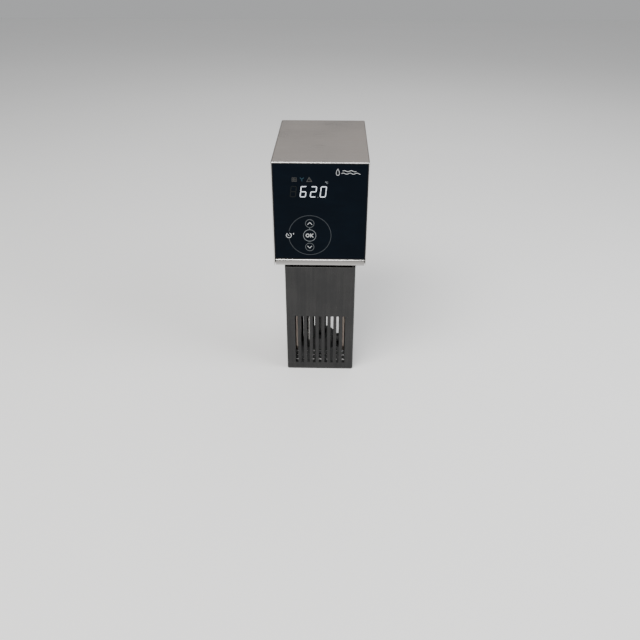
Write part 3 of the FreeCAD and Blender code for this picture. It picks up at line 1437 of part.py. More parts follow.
def make_transformer():
    """A core with a coil through it that shows at both ends."""
    piece = body("transformer")
    left = S["CoreOut"] - S["CoreWide"] / 2
    right = left + S["CoreWide"]
    fore = power_fore + S["CoreFore"]
    aft = fore + S["CoreDeep"]
    high = power_top + S["CoreTall"]
    inset = S["CoilIn"]
    pad(piece, "X", left, right, oblong(fore, power_top, aft, high))
    pad(piece, "X", left - S["CoilOut"], right + S["CoilOut"], oblong(
        fore + inset, power_top + inset, aft - inset, high - inset))


def make_relays():
    fore = power_fore + S["RelayFore"]
    aft = fore + S["RelayDeep"]
    high = power_top + S["RelayTall"]
    blocks = []
    for number in range(2):
        left = number * S["RelayPitch"] - S["RelayOut"]
        right = left + S["RelayWide"]
        blocks.append(block((left, fore, power_top), (right, aft, high)))
    node("relays", *blocks)


def make_capacitors():
    cans = []
    for number in range(2):
        y = power_fore + S["CanFore"] + number * S["CanPitch"]
        cans.append(rod((-S["CanOut"], y, power_top), "+Z", S["CanRound"], S["CanTall"]))
    large = (S["BigCanOut"], power_fore + S["BigCanFore"], power_top)
    cans.append(rod(large, "+Z", S["BigCanRound"], S["BigCanTall"]))
    node("capacitors", *cans)


make_hood()
make_base_pan()
make_bezel()
make_front_glass()
make_panel_carrier()
make_display_module()
make_touch_board()
make_touch_springs()
make_control_board()
make_board_standoffs()
make_motor_posts()
make_motor_case()
make_motor_bearings()
make_stator()
make_rotor_core()
make_pump_shaft()
make_vaned_wheel("cooling_fan", fan_low, (fan_low, fan_plate), fan_high, S["FanHub"], S["FanRound"], 9, 0)
make_vaned_wheel("impeller", wheel_low, (wheel_plate, wheel_high), wheel_high, S["WheelHub"],
                 S["PumpRound"] - S["PumpWall"] - S["WheelPlay"], 6, S["WheelLean"])
make_shaft_seal()
wet_plate("flange_gasket", flange_top, under, S["BearingRound"], S["EntryPlay"])
wet_plate("wet_flange", flange_low, flange_top, tube_bore, S["FlangeSeat"])
make_pump_tube()
make_lower_bush()
make_pump_housing()
make_outlet_spout()
make_intake_cover()
make_heaters()
make_heater_nuts()
make_probe("temperature_probe", probe_spots[0], S["WarmReach"])
make_probe("dry_run_probe", probe_spots[1], S["DryReach"])
make_float_stem()
make_float_clip()
make_level_float()
make_guard()
make_guard_base()
make_guard_hangers()
make_guard_screws()
make_clamp_bracket()
make_bracket_screws()
make_jaw_pad()
make_threaded_bush()
make_pressure_pad()
make_pad_cup()
make_spindle()
make_knob()
make_knob_cap()
make_rear_panel()
make_mains_inlet()
make_inlet_pins()
make_casing_screws()
make_switch_body()
make_rocker()
make_breaker_body()
make_breaker_button()
make_power_board()
make_power_standoffs()
make_heat_sink()
make_transformer()
make_relays()
make_capacitors()

doc.recompute()
for thing in doc.Objects:
    if "Invalid" in thing.State or "Error" in thing.State:
        raise RuntimeError(f"{thing.Label} failed: {thing.State}")
os.makedirs("parts", exist_ok=True)
for piece in NODES:
    if piece.Shape.isNull() or not piece.Shape.isValid():
        raise RuntimeError(f"{piece.Label} has no valid shape")
for piece in NODES:
    piece.Shape.exportStep(f"parts/{piece.Label}.step")
    print(piece.Label, len(piece.Shape.Solids), round(piece.Shape.Volume))
print(len(NODES), "nodes")
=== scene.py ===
import math

import bmesh
import bpy
from mathutils import Matrix, Vector


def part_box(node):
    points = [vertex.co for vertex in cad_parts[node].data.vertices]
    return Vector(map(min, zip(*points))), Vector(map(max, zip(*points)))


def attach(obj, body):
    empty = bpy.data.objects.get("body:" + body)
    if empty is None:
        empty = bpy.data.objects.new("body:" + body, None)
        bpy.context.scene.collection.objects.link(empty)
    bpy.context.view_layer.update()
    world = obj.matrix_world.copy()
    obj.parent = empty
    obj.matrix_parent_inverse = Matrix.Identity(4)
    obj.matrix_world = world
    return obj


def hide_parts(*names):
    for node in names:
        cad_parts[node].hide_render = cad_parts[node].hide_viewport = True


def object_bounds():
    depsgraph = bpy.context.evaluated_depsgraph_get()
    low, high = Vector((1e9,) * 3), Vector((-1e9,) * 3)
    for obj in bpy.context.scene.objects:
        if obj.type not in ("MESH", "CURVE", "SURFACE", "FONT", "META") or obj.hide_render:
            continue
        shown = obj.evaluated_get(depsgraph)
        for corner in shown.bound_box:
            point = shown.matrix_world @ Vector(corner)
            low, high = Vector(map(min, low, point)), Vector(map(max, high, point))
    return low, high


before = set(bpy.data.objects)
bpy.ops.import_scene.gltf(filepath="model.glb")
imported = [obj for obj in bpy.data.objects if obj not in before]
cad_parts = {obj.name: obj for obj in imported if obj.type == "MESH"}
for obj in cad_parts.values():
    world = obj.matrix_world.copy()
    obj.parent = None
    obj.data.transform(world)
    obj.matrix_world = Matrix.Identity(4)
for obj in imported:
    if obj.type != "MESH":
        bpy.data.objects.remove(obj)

cad_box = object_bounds()
MM = 0.001


# ---------------------------------------------------------------- where it stands, and the light
# A pale painted board under the guard's base, a big soft panel above and to the left, a weaker one
# to the right, a faint one behind, and a grey room round them. The eye is 0.9 m from the lip.

FLOOR_REACH = 4.0
FLOOR_BELOW = 0.2 * MM
LENS_MM = 37.14
EYE_FROM_LIP = Vector((19.4, -846.8, 277.0)) * MM
LOOK_DOWN = math.radians(31.54)
LOOK_ASIDE = math.radians(1.31)
ROLL = math.radians(0.05)

hood_low, hood_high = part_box("hood")
lip_middle = Vector(((hood_low[0] + hood_high[0]) / 2, hood_low[1], hood_high[2]))


class Wire:
    """A socket of a material. Arithmetic on wires adds Math nodes beside it."""

    def __init__(self, finish, socket):
        self.finish = finish
        self.socket = socket

    def math(self, operation, first, second):
        return self.finish.add("ShaderNodeMath", {"operation": operation}, {0: first, 1: second})

    def __add__(self, other):
        return self.math("ADD", self, other)

    __radd__ = __add__

    def __sub__(self, other):
        return self.math("SUBTRACT", self, other)

    def __rsub__(self, other):
        return self.math("SUBTRACT", other, self)

    def __mul__(self, other):
        return self.math("MULTIPLY", self, other)

    __rmul__ = __mul__

    def along(self, axis):
        """One coordinate of a place: "X", "Y" or "Z"."""
        return self.finish.add("ShaderNodeSeparateXYZ", {}, {0: self}, axis)


class Finish:
    """A material being built: add() places any node, and skin() closes it with a shader."""

    def __init__(self, name):
        self.material = bpy.data.materials.new(name)
        self.material.use_nodes = True
        self.tree = self.material.node_tree
        self.tree.nodes.clear()
        self.place = self.add("ShaderNodeTexCoord", out="Object")

    def add(self, kind, settings=None, sockets=None, out=0):
        node = self.tree.nodes.new(kind)
        for name, value in (settings or {}).items():
            setattr(node, name, value)
        for key, value in (sockets or {}).items():
            if isinstance(value, Wire):
                self.tree.links.new(value.socket, node.inputs[key])
            else:
                node.inputs[key].default_value = value
        return Wire(self, node.outputs[out])

    def stretched(self, per_metre):
        """The place in the piece, scaled to so many cells in a metre along each axis."""
        sockets = {0: self.place, 1: per_metre}
        return self.add("ShaderNodeVectorMath", {"operation": "MULTIPLY"}, sockets)

    def noise(self, per_metre, detail=3.0, roughness=0.5):
        """Even noise from 0 to 1, with cells of the given sizes."""
        if not hasattr(per_metre, "__len__"):
            per_metre = (per_metre, per_metre, per_metre)
        cells = self.stretched(per_metre)
        sockets = {"Vector": cells, "Scale": 1.0, "Detail": detail, "Roughness": roughness}
        return self.add("ShaderNodeTexNoise", {}, sockets, "Fac")

    def spread(self, value, low, high, to_low=0.0, to_high=1.0):
        """Stretch the part low..high of a value over another range, and hold it at the ends."""
        sockets = {"Value": value, "From Min": low, "From Max": high,
                   "To Min": to_low, "To Max": to_high}
        return self.add("ShaderNodeMapRange", {}, sockets, "Result")

    def blend(self, factor, first, second):
        """One colour fading to another. Inputs 6 and 7 and output 2 are the node's colours."""
        sockets = {0: factor, 6: (*first, 1.0) if isinstance(first, tuple) else first,
                   7: (*second, 1.0) if isinstance(second, tuple) else second}
        return self.add("ShaderNodeMix", {"data_type": "RGBA"}, sockets, 2)

    def bump(self, height, metres, strength=1.0):
        """Relief of so many metres."""
        sockets = {"Height": height, "Distance": metres, "Strength": strength}
        return self.add("ShaderNodeBump", {}, sockets, "Normal")

    def skin(self, sockets):
        """Close the material with the usual shader."""
        shader = self.add("ShaderNodeBsdfPrincipled", {}, sockets)
        output = self.tree.nodes.new("ShaderNodeOutputMaterial")
        self.tree.links.new(shader.socket, output.inputs["Surface"])
        return self.material


def painted_board():
    finish = Finish("painted_board")
    cloud = finish.noise(3.0, 2.0)
    speck = finish.noise(900.0, 2.0)
    return finish.skin({
        "Base Color": finish.blend(cloud, (0.87, 0.868, 0.862), (0.9, 0.898, 0.893)),
        "Roughness": finish.spread(speck, 0.3, 0.7, 0.55, 0.65),
        "Normal": finish.bump(speck, 0.00005, 0.3),
    })


def place_floor():
    mesh = bpy.data.meshes.new("floor")
    level = cad_box[0][2] - FLOOR_BELOW
    sides = ((-1, -1), (1, -1), (1, 1), (-1, 1))
    corners = [(x * FLOOR_REACH, y * FLOOR_REACH, level) for x, y in sides]
    mesh.from_pydata(corners, [], [(0, 1, 2, 3)])
    floor = bpy.data.objects.new("floor", mesh)
    bpy.context.collection.objects.link(floor)
    floor.data.materials.append(painted_board())


def place_lamp(name, spot, aim, size, watts, colour):
    data = bpy.data.lights.new(name, "AREA")
    data.shape = "RECTANGLE"
    data.size, data.size_y = size
    data.energy = watts
    data.color = colour
    lamp = bpy.data.objects.new(name, data)
    lamp.location = spot
    lamp.rotation_euler = (Vector(aim) - Vector(spot)).to_track_quat("-Z", "Y").to_euler()
    bpy.context.collection.objects.link(lamp)


def place_eye():
    data = bpy.data.cameras.new("eye")
    data.sensor_width = 36.0
    data.lens = LENS_MM
    data.clip_start = 0.01
    eye = bpy.data.objects.new("eye", data)
    eye.location = lip_middle + EYE_FROM_LIP
    turn = Matrix.Rotation(LOOK_ASIDE, 4, "Z") @ Matrix.Rotation(math.pi / 2 - LOOK_DOWN, 4, "X")
    eye.rotation_euler = (turn @ Matrix.Rotation(ROLL, 4, "Z")).to_euler()
    bpy.context.collection.objects.link(eye)
    bpy.context.scene.camera = eye


place_floor()
HEAD_MIDDLE = (0, -0.02, 0.05)
WARM = (1.0, 0.985, 0.96)
COOL = (0.96, 0.98, 1.0)
place_lamp("panel_left", (-0.55, -1.05, 1.75), HEAD_MIDDLE, (1.7, 1.0), 58.0, WARM)
place_lamp("panel_right", (1.4, -0.5, 0.9), HEAD_MIDDLE, (1.0, 1.2), 22.0, COOL)
place_lamp("panel_back", (0.3, 1.5, 1.3), (0, 0, 0.05), (1.6, 0.8), 7.0, (1.0, 1.0, 1.0))
place_eye()
room = bpy.data.worlds.new("room")
room.use_nodes = True
room.node_tree.nodes["Background"].inputs["Color"].default_value = (0.86, 0.87, 0.88, 1.0)
room.node_tree.nodes["Background"].inputs["Strength"].default_value = 0.5
bpy.context.scene.world = room


# ---------------------------------------------------------------- hood, base pan, rear panel
# Stainless sheet, brushed across the head, folded on a press brake. The hood is one sheet bent
# into an arch, its rounded front edge carries a painted highlight, and it is screwed to the pan's
# walls.

# The colour of the painted highlights on rounded edges and bends.
PAINTED_HIGHLIGHT = (0.72, 0.715, 0.70)


def brushed_sheet(name, colour, dark, along, rough=0.36, edges=()):
    """Stainless sheet brushed along X, Y or Z; "XZ" when a fold carries the lines from X into Z.

    Each of `edges` is (axis, from, to): past `from` along that axis a painted highlight, where a
    rounded edge or bend catches the light, makes the metal lighter, and it is smoother there.
    """
    finish = Finish(name)

    def streaks(length, width):
        return finish.noise(tuple(length if axis in along else width for axis in "XYZ"), 2.0)

    fine = streaks(12.0, 4200.0)
    broad = streaks(3.0, 420.0)
    cloud = finish.noise(14.0, 3.0)
    mark = finish.spread(fine * 0.45 + broad * 0.25 + cloud * 0.3, 0.27, 0.73)
    wiped = finish.spread(cloud, 0.35, 0.65, -0.05, 0.07)
    shade = finish.blend(mark, dark, colour)
    dullness = finish.spread(fine, 0.3, 0.7, rough - 0.06, rough + 0.07) + wiped
    for axis, start, end in edges:
        highlight = finish.spread(finish.place.along(axis), start, end)
        shade = finish.blend(highlight, shade, PAINTED_HIGHLIGHT)
        dullness = dullness - highlight * 0.1
    return finish.skin({
        "Base Color": shade,
        "Metallic": 1.0,
        "Roughness": dullness,
        "Normal": finish.bump(fine * 0.7 + broad * 0.3, 0.00002, 0.4),
    })


def dress(material, *names):
    """Give carried-over CAD nodes a material."""
    for name in names:
        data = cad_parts[name].data
        data.materials.clear()
        data.materials.append(material)


LIP = 0.62 * MM
HOOD_SHADES = ((0.292, 0.258, 0.234), (0.232, 0.205, 0.186))
# The front lip, LIP deep, gets a painted highlight band.
hood_steel = brushed_sheet("hood_steel", *HOOD_SHADES, "XZ", 0.36,
                           [("Y", hood_low[1] + LIP, hood_low[1] + LIP * 0.8)])
rear_steel = brushed_sheet("rear_steel", *HOOD_SHADES, "X")
CHIN = 10 * MM
chin_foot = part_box("base_pan")[0][2]
chin_top = chin_foot + CHIN
# Painted highlights: a bright band on the chin's upper bend and a lighter fade down its lower bend.
chin_highlights = [("Z", chin_top - 1.7 * MM, chin_top - 1.2 * MM),
              ("Z", chin_foot + 5 * MM, chin_foot - 6 * MM)]
PAN_SHADES = ((0.29, 0.28, 0.27), (0.225, 0.217, 0.209))
pan_steel = brushed_sheet("pan_steel", *PAN_SHADES, "X", 0.22, chin_highlights)
dress(hood_steel, "hood")
dress(rear_steel, "rear_panel")
dress(pan_steel, "base_pan")


def finished(name, build, material, body):
    """Turn a filled bmesh into a piece that rides on a body."""
    mesh = bpy.data.meshes.new(name)
    bmesh.ops.recalc_face_normals(build, faces=build.faces)
    build.to_mesh(mesh)
    build.free()
    mesh.materials.append(material)
    piece = bpy.data.objects.new(name, mesh)
    bpy.context.collection.objects.link(piece)
    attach(piece, body)
    return piece


# ---------------------------------------------------------------- bezel and glass
# A matt black plastic frame with a 3 mm glass in it. The glass is painted black on its back, so it
# shows dark and deep, and a cloth has been over it a few times.

def moulded(name, colour, light, rough=0.5, grain=1800.0, relief=0.00002):
    """Moulded plastic with a fine spark-eroded skin."""
    finish = Finish(name)
    pits = finish.noise(grain, 2.0)
    cloud = finish.noise(60.0, 3.0)
    mottle = finish.spread(cloud * 0.5 + pits * 0.5, 0.3, 0.7)
    return finish.skin({
        "Base Color": finish.blend(mottle, colour, light),
        "Roughness": finish.spread(pits * 0.4 + cloud * 0.6, 0.3, 0.7, rough - 0.07, rough + 0.09),
        "Normal": finish.bump(pits, relief, 0.6),
    })


def painted_glass():
    finish = Finish("painted_glass")
    cloud = finish.noise(22.0, 4.0, 0.6)
    wipe = finish.noise((30.0, 30.0, 160.0), 3.0)
    smear = finish.spread(cloud * 0.6 + wipe * 0.4, 0.45, 0.75)
    return finish.skin({
        "Base Color": finish.blend(smear, (0.0004, 0.0022, 0.0052), (0.0009, 0.0034, 0.0072)),
        "Roughness": finish.spread(smear, 0.0, 1.0, 0.045, 0.16),
        "Specular IOR Level": 0.045,
        "Normal": finish.bump(cloud, 0.00001, 0.1),
    })


bezel_plastic = moulded("bezel_plastic", (0.005, 0.005, 0.006), (0.009, 0.009, 0.010), 0.42)
dress(bezel_plastic, "front_bezel", "panel_carrier")
dress(painted_glass(), "front_glass")


# ---------------------------------------------------------------- marks and figures on the glass
# Ink screen-printed on the glass in a few strengths, and the display's bars, of which three figures
# are lit. Places and sizes are in mm, from the middle of the head's top edge.

PRINT_THICK = 0.06 * MM
PRINT_SUNK = 0.02 * MM
glass_low, glass_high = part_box("front_glass")
panel_x = (glass_low[0] + glass_high[0]) / 2
panel_top = hood_high[2]
glass_face = glass_low[1]
RING_STEPS = 72
MITRE_LIMIT = 0.3


def ring(centre, radius, start=0.0, sweep=360.0):
    """Points round a circle, or along part of one, in degrees anticlockwise from +X."""
    steps = max(6, int(RING_STEPS * sweep / 360.0))
    count = steps if sweep >= 360.0 else steps + 1
    angles = [math.radians(start + sweep * i / steps) for i in range(count)]
    return [(centre[0] + radius * math.cos(a), centre[1] + radius * math.sin(a)) for a in angles]


def stroke(points, width, closed=False):
    """A drawn line as a band: its left side, then its right side back, with mitred corners."""
    spots = [Vector(p) for p in points]
    count = len(spots)
    left, right = [], []
    for i, spot in enumerate(spots):
        before = spots[i - 1] if closed or i > 0 else spot - (spots[1] - spot)
        after = spots[(i + 1) % count] if closed or i < count - 1 else spot + (spot - spots[i - 1])
        into = (spot - before).normalized()
        away = (after - spot).normalized()
        across = Vector((-into.y - away.y, into.x + away.x)).normalized()
        reach = width / 2 / max(MITRE_LIMIT, across.dot(Vector((-into.y, into.x))))
        left.append(spot + across * reach)
        right.append(spot - across * reach)
    return left, right, closed


def raised_print(name, bands, fills, material, place, sink, body):
    """Raised print: bands from stroke() and filled outlines, put in space by place()."""
    build = bmesh.new()
    for left, right, closed in bands:
        outer = [build.verts.new(place(spot)) for spot in left]
        inner = [build.verts.new(place(spot)) for spot in right]
        count = len(outer)
        for i in range(count if closed else count - 1):
            j = (i + 1) % count
            build.faces.new((outer[i], outer[j], inner[j], inner[i]))
    for outline in fills:
        build.faces.new([build.verts.new(place(spot)) for spot in outline])
    raised = bmesh.ops.extrude_face_region(build, geom=build.faces[:])
    moved = [part for part in raised["geom"] if isinstance(part, bmesh.types.BMVert)]
    bmesh.ops.translate(build, verts=moved, vec=sink)
    piece = finished(name, build, material, body)


def on_glass(spot):
    """A point just in front of the glass, in mm from the head's top middle."""
    return (panel_x + spot[0] * MM, glass_face - PRINT_THICK, panel_top + spot[1] * MM)


def print_on_glass(name, bands, fills, material):
    sink = (0, PRINT_THICK + PRINT_SUNK, 0)
    raised_print(name, bands, fills, material, on_glass, sink, "housing")


def ink(name, shade, glow=0.0):
    """Screen-printed ink, a little uneven, or a lit part of the display."""
    finish = Finish(name)
    weave = finish.noise(2500.0, 2.0)
    colour = finish.blend(weave, tuple(c * 0.86 for c in shade), shade)
    sockets = {"Base Color": colour, "Roughness": finish.spread(weave, 0.3, 0.7, 0.35, 0.5),
               "Specular IOR Level": 0.12, "Normal": finish.bump(weave, 0.000005, 0.4)}
    if glow:
        sockets["Emission Color"] = colour
        sockets["Emission Strength"] = glow
    return finish.skin(sockets)


KEYS = (-14.5, -105.0)
KEY_STEP = 17.6
KEY_RING = 8.7
SMALL_RING = 5.9
TIMER = (-43.7, -105.1)
TIMER_RING = 3.6
ARROW_RISE = 3.3
ARROW_HALF = 3.1
ARROW_LINE = 0.75
LETTER_LINE = 0.95
TIMER_LINE = 0.8
RING_LINE = 0.85
TOUCH_ROUND = 29.6
pale_ink = ink("pale_ink", (0.52, 0.54, 0.55))
grey_ink = ink("grey_ink", (0.15, 0.165, 0.175))
faint_ink = ink("faint_ink", (0.085, 0.095, 0.10))
dim_ink = ink("dim_ink", (0.036, 0.042, 0.047))
up_key = (KEYS[0] + 0.2, KEYS[1] + KEY_STEP + 0.3)
down_key = (KEYS[0], KEYS[1] - KEY_STEP)


def chevron(centre, rise):
    """A pointed stroke that points up for a positive rise."""
    x, z = centre
    low = z - rise * 0.5
    return stroke([(x - ARROW_HALF, low), (x, z + rise * 0.5), (x + ARROW_HALF, low)], ARROW_LINE)


def letter_o(x, z, wide, tall, thick):
    """A round letter, a little taller than wide."""
    loop = [(x + wide / 2 * math.cos(a), z + tall / 2 * math.sin(a))
            for a in (math.tau * i / 32 for i in range(32))]
    return stroke(loop, thick, True)


key_x, key_z = KEYS
timer_x, timer_z = TIMER
letter_k_arms = [(key_x + 4.9, key_z + 2.7), (key_x + 1.9, key_z), (key_x + 5.1, key_z - 2.7)]
timer_wedge = [(timer_x + 6.3, timer_z + 0.7), (timer_x + 7.5, timer_z + 3.6),
               (timer_x + 5.8, timer_z + 3.2)]
print_on_glass("key_marks", [
    chevron(up_key, ARROW_RISE), chevron(down_key, -ARROW_RISE),
    letter_o(key_x - 2.9, key_z, 4.3, 4.7, LETTER_LINE),
    stroke([(key_x + 1.3, key_z + 2.8), (key_x + 1.3, key_z - 2.8)], LETTER_LINE),
    stroke(letter_k_arms, LETTER_LINE),
    stroke(ring(TIMER, TIMER_RING, 120.0, 310.0), TIMER_LINE),
    stroke([(timer_x - 1.5, timer_z + 1.6), (timer_x + 0.4, timer_z - 0.6)], TIMER_LINE),
], [timer_wedge], pale_ink)
print_on_glass("key_rings", [
    stroke(ring(KEYS, KEY_RING), RING_LINE, True),
    stroke([(up_key[0], up_key[1] - SMALL_RING), (KEYS[0] + 0.1, KEYS[1] + KEY_RING)], 0.7),
], [], grey_ink)
small_rings = [stroke(ring(key, SMALL_RING), 0.8, True) for key in (up_key, down_key)]
print_on_glass("arrow_rings", small_rings, [], faint_ink)
touch_arc = ring((key_x + 0.2, key_z + 0.1), TOUCH_ROUND, 191.0, 338.0)
print_on_glass("touch_ring", [stroke(touch_arc, LETTER_LINE)], [], dim_ink)

SEGMENTS = {"6": "afgedc", "2": "abged", "0": "abcdef", "8": "abcdefg"}
LIT_FIGURES = (("6", -27.7), ("2", -14.0), ("0", -0.7))
UNLIT_FIGURE = ("8", -41.2)
FIGURE_FOOT = -48.8
FIGURE_WIDE = 8.3
FIGURE_TALL = 15.6
FIGURE_LEAN = 0.115
BAR_THICK = 1.15
BAR_GAP = 0.12


def segment(letter, left):
    """One bar of a seven-bar figure, its ends pointed so that the bars meet at the corners."""
    half = BAR_THICK / 2
    rows = {"a": FIGURE_TALL - half, "g": FIGURE_TALL / 2, "d": half}
    if letter in rows:
        z = rows[letter]
        near = BAR_THICK + BAR_GAP
        far = FIGURE_WIDE - BAR_THICK - BAR_GAP
        shape = [(half + BAR_GAP, z), (near, z + half), (far, z + half),
                 (FIGURE_WIDE - half - BAR_GAP, z), (far, z - half), (near, z - half)]
    else:
        x = FIGURE_WIDE - half if letter in "bc" else half
        low = FIGURE_TALL / 2 if letter in "bf" else half
        high = FIGURE_TALL - half if letter in "bf" else FIGURE_TALL / 2
        near = low + half + BAR_GAP
        far = high - half - BAR_GAP
        shape = [(x, low + BAR_GAP), (x + half, near), (x + half, far), (x, high - BAR_GAP),
                 (x - half, far), (x - half, near)]
    return [(left + x + z * FIGURE_LEAN, FIGURE_FOOT + z) for x, z in shape]


def figure(character, left):
    """The outlines of one figure's bars."""
    return [segment(letter, left) for letter in SEGMENTS[character]]


lit = ink("lit_bars", (0.70, 0.76, 0.84), 0.5)
unlit = ink("unlit_bars", (0.006, 0.0075, 0.0075))
lit_bars = [bar for place in LIT_FIGURES for bar in figure(*place)]
print_on_glass("display_figures", [], lit_bars, lit)
print_on_glass("display_unlit", [], figure(*UNLIT_FIGURE), unlit)
print_on_glass("display_point", [stroke(ring((-2.9, -48.6), 0.35), 0.5, True)], [], grey_ink)
degree_and_unit = [stroke(ring((7.6, -27.2), 0.7), 0.5, True),
                   stroke(ring((9.9, -28.2), 1.2, 50.0, 260.0), 0.6)]
print_on_glass("unit_mark", degree_and_unit, [], grey_ink)

HEAT_MARK = (-34.6, -24.2)
WATER_MARK = (-24.4, -23.7)
WARN_MARK = (-14.6, -24.0)
ICON_LINE = 0.8
ICON_THIN = 0.7
TRIANGLE_LINE = 0.9


def grid_icon(x, z):
    """A square grid, for heating."""
    posts = [x - 2.9 + i * 1.9 for i in range(4)]
    rails = [z - 2.4 + i * 2.5 for i in range(3)]
    bands = [stroke([(post, z - 2.4), (post, z + 2.6)], ICON_THIN) for post in posts]
    return bands + [stroke([(x - 3.4, rail), (x + 3.4, rail)], ICON_THIN) for rail in rails]


def funnel_icon(x, z):
    """A funnel, for the water level."""
    return [stroke([(x - 2.6, z + 2.4), (x, z), (x, z - 2.8)], ICON_LINE),
            stroke([(x + 2.6, z + 2.4), (x + 0.4, z + 0.4)], ICON_LINE)]


def warn_icon(x, z):
    """A warning triangle with a short bar in it."""
    return [stroke([(x - 3.3, z - 2.6), (x, z + 3.0), (x + 3.3, z - 2.6)], TRIANGLE_LINE, True),
            stroke([(x, z + 0.8), (x, z - 1.2)], ICON_THIN)]


icon_ink = ink("icon_ink", (0.055, 0.055, 0.052))
print_on_glass("status_icons", grid_icon(*HEAT_MARK) + warn_icon(*WARN_MARK), [], icon_ink)
blue_icon_ink = ink("blue_icon_ink", (0.02, 0.055, 0.075))
print_on_glass("water_icon", funnel_icon(*WATER_MARK), [], blue_icon_ink)

BADGE = (23.5, -13.4)
DROP_TALL = 4.4
DROP_WIDE = 0.62
RIPPLE_TALL = 0.75
RIPPLE_STEP = 0.9
RIPPLE_TURN = 0.62
RIPPLE_APART = 3.4


def drop_badge(x, z, size):
    """A plain water drop with two ripples beside it, the upper one shorter."""
    turns = [math.tau * i / 36 for i in range(36)]
    drop = [(x + size * DROP_WIDE * math.sin(a) * math.sin(a / 2), z + size * math.cos(a))
            for a in turns]
    bands = [stroke(drop, 0.75, True)]
    for row in range(2):
        left = x + size * (1.1 + row * 0.35)
        level = z - 1.9 + row * RIPPLE_APART
        wave = [(left + i * RIPPLE_STEP, level + RIPPLE_TALL * math.sin(i * RIPPLE_TURN))
                for i in range(29 - row * 8)]
        bands.append(stroke(wave, 0.8))
    return bands


badge_ink = ink("badge_ink", (0.42, 0.43, 0.44))
print_on_glass("maker_badge", drop_badge(*BADGE, DROP_TALL), [], badge_ink)


# ---------------------------------------------------------------- guard
# A smooth rolled sheet folded into a square tube, slotted low down, that keeps food off the
# heaters. Its colour is painted near black as shade, in uneven patches, with a painted highlight
# along its top edge, and it closes with a moulded base.

def rolled_sheet(name, edge_at):
    """Smooth sheet painted near black as shade, with a painted highlight above `edge_at`."""
    finish = Finish(name)
    cloud = finish.noise(24.0, 4.0, 0.6)
    run = finish.noise((220.0, 220.0, 9.0), 3.0)
    fine = finish.noise((3200.0, 3200.0, 60.0), 2.0)
    tide = finish.spread(cloud * 0.55 + run * 0.45, 0.38, 0.66)
    bright = finish.spread(finish.place.along("Z"), edge_at, edge_at + 0.3 * MM)
    # The steel's colour is painted near black, standing in for shade.
    painted_shade_steel = finish.blend(tide, (0.035, 0.035, 0.0355), (0.047, 0.0465, 0.0465))
    return finish.skin({
        "Base Color": finish.blend(bright, painted_shade_steel, TOP_EDGE_HIGHLIGHT),
        "Metallic": 1.0,
        "Roughness": (finish.spread(tide, 0.0, 1.0, 0.2, 0.32)
                      + finish.spread(fine, 0.3, 0.7, -0.02, 0.03)),
        "Normal": finish.bump(fine * 0.4 + run * 0.6, 0.00003, 0.35),
    })


# The colour of the painted highlight along the guard's top edge.
TOP_EDGE_HIGHLIGHT = (0.17, 0.166, 0.16)
wet_black = moulded("wet_black", (0.018, 0.018, 0.019), (0.03, 0.03, 0.031), 0.38)
guard_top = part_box("guard_shell")[1][2]
above_column = guard_top + 50 * MM
dress(moulded("float_grey", (0.09, 0.092, 0.095), (0.13, 0.132, 0.135), 0.35), "level_float")
dress(rolled_sheet("guard_steel", guard_top - 0.4 * MM), "guard_shell")
dress(rolled_sheet("column_steel", above_column), "guard_hangers", "pump_tube")
dress(wet_black, "guard_base", "wet_flange", "pump_housing", "intake_cover", "outlet_spout",
      "impeller")


# ---------------------------------------------------------------- screws
# Zinc-plated pan heads with a cross recess: ten in the casing, four that hold the guard to its
# hangers, and four that hold the clamp's bracket to the pan.

def turned(name, colour, dark, rough, rings=2600.0):
    """Turned or drawn metal: fine rings and a few duller patches."""
    finish = Finish(name)
    tool_marks = finish.noise((rings * 0.25, rings * 0.25, rings), 2.0)
    cloud = finish.noise(120.0, 3.0)
    light = finish.spread(cloud * 0.6 + tool_marks * 0.4, 0.3, 0.7)
    dull = tool_marks * 0.5 + cloud * 0.5
    return finish.skin({
        "Base Color": finish.blend(light, dark, colour),
        "Metallic": 1.0,
        "Roughness": finish.spread(dull, 0.3, 0.7, rough - 0.05, rough + 0.09),
        "Normal": finish.bump(tool_marks, 0.00001, 0.4),
    })


ROUND_SIDES = 28


def loop_at(build, radius, height, count=ROUND_SIDES):
    """Vertices in a circle round Z."""
    turns = [math.tau * i / count for i in range(count)]
    return [build.verts.new((radius * math.cos(a), radius * math.sin(a), height)) for a in turns]


def wall(build, lower, upper):
    """Faces between two loops of the same count."""
    count = len(lower)
    for i in range(count):
        j = (i + 1) % count
        build.faces.new((lower[i], lower[j], upper[j], upper[i]))


def lathe(build, profile, count=ROUND_SIDES):
    """A closed solid of revolution round Z from (radius, height) stations, capped at both ends."""
    loops = [loop_at(build, radius, height, count) for radius, height in profile]
    build.faces.new(list(reversed(loops[0])))
    for lower, upper in zip(loops, loops[1:]):
        wall(build, lower, upper)
    build.faces.new(loops[-1])


def stand(build, first, spot, direction):
    """Move the vertices made since `first` so that their Z points along a direction at a spot."""
    turn = Vector((0, 0, 1)).rotation_difference(Vector(direction)).to_matrix().to_4x4()
    fresh = list(build.verts)[first:]
    bmesh.ops.transform(build, matrix=Matrix.Translation(spot) @ turn, verts=fresh)


HEAD_ROUND = 2.8 * MM
HEAD_TALL = 1.6 * MM
HEAD_PROFILE = [(1.0, 0.0), (1.0, 0.38), (0.93, 0.68), (0.80, 0.9), (0.66, 1.0)]
SHANK_ROUND = 1.5 * MM
SHANK_TIP = 0.7
RECESS_REACH = 1.45 * MM
RECESS_WIDE = 0.42 * MM
RECESS_DEEP = 0.9 * MM


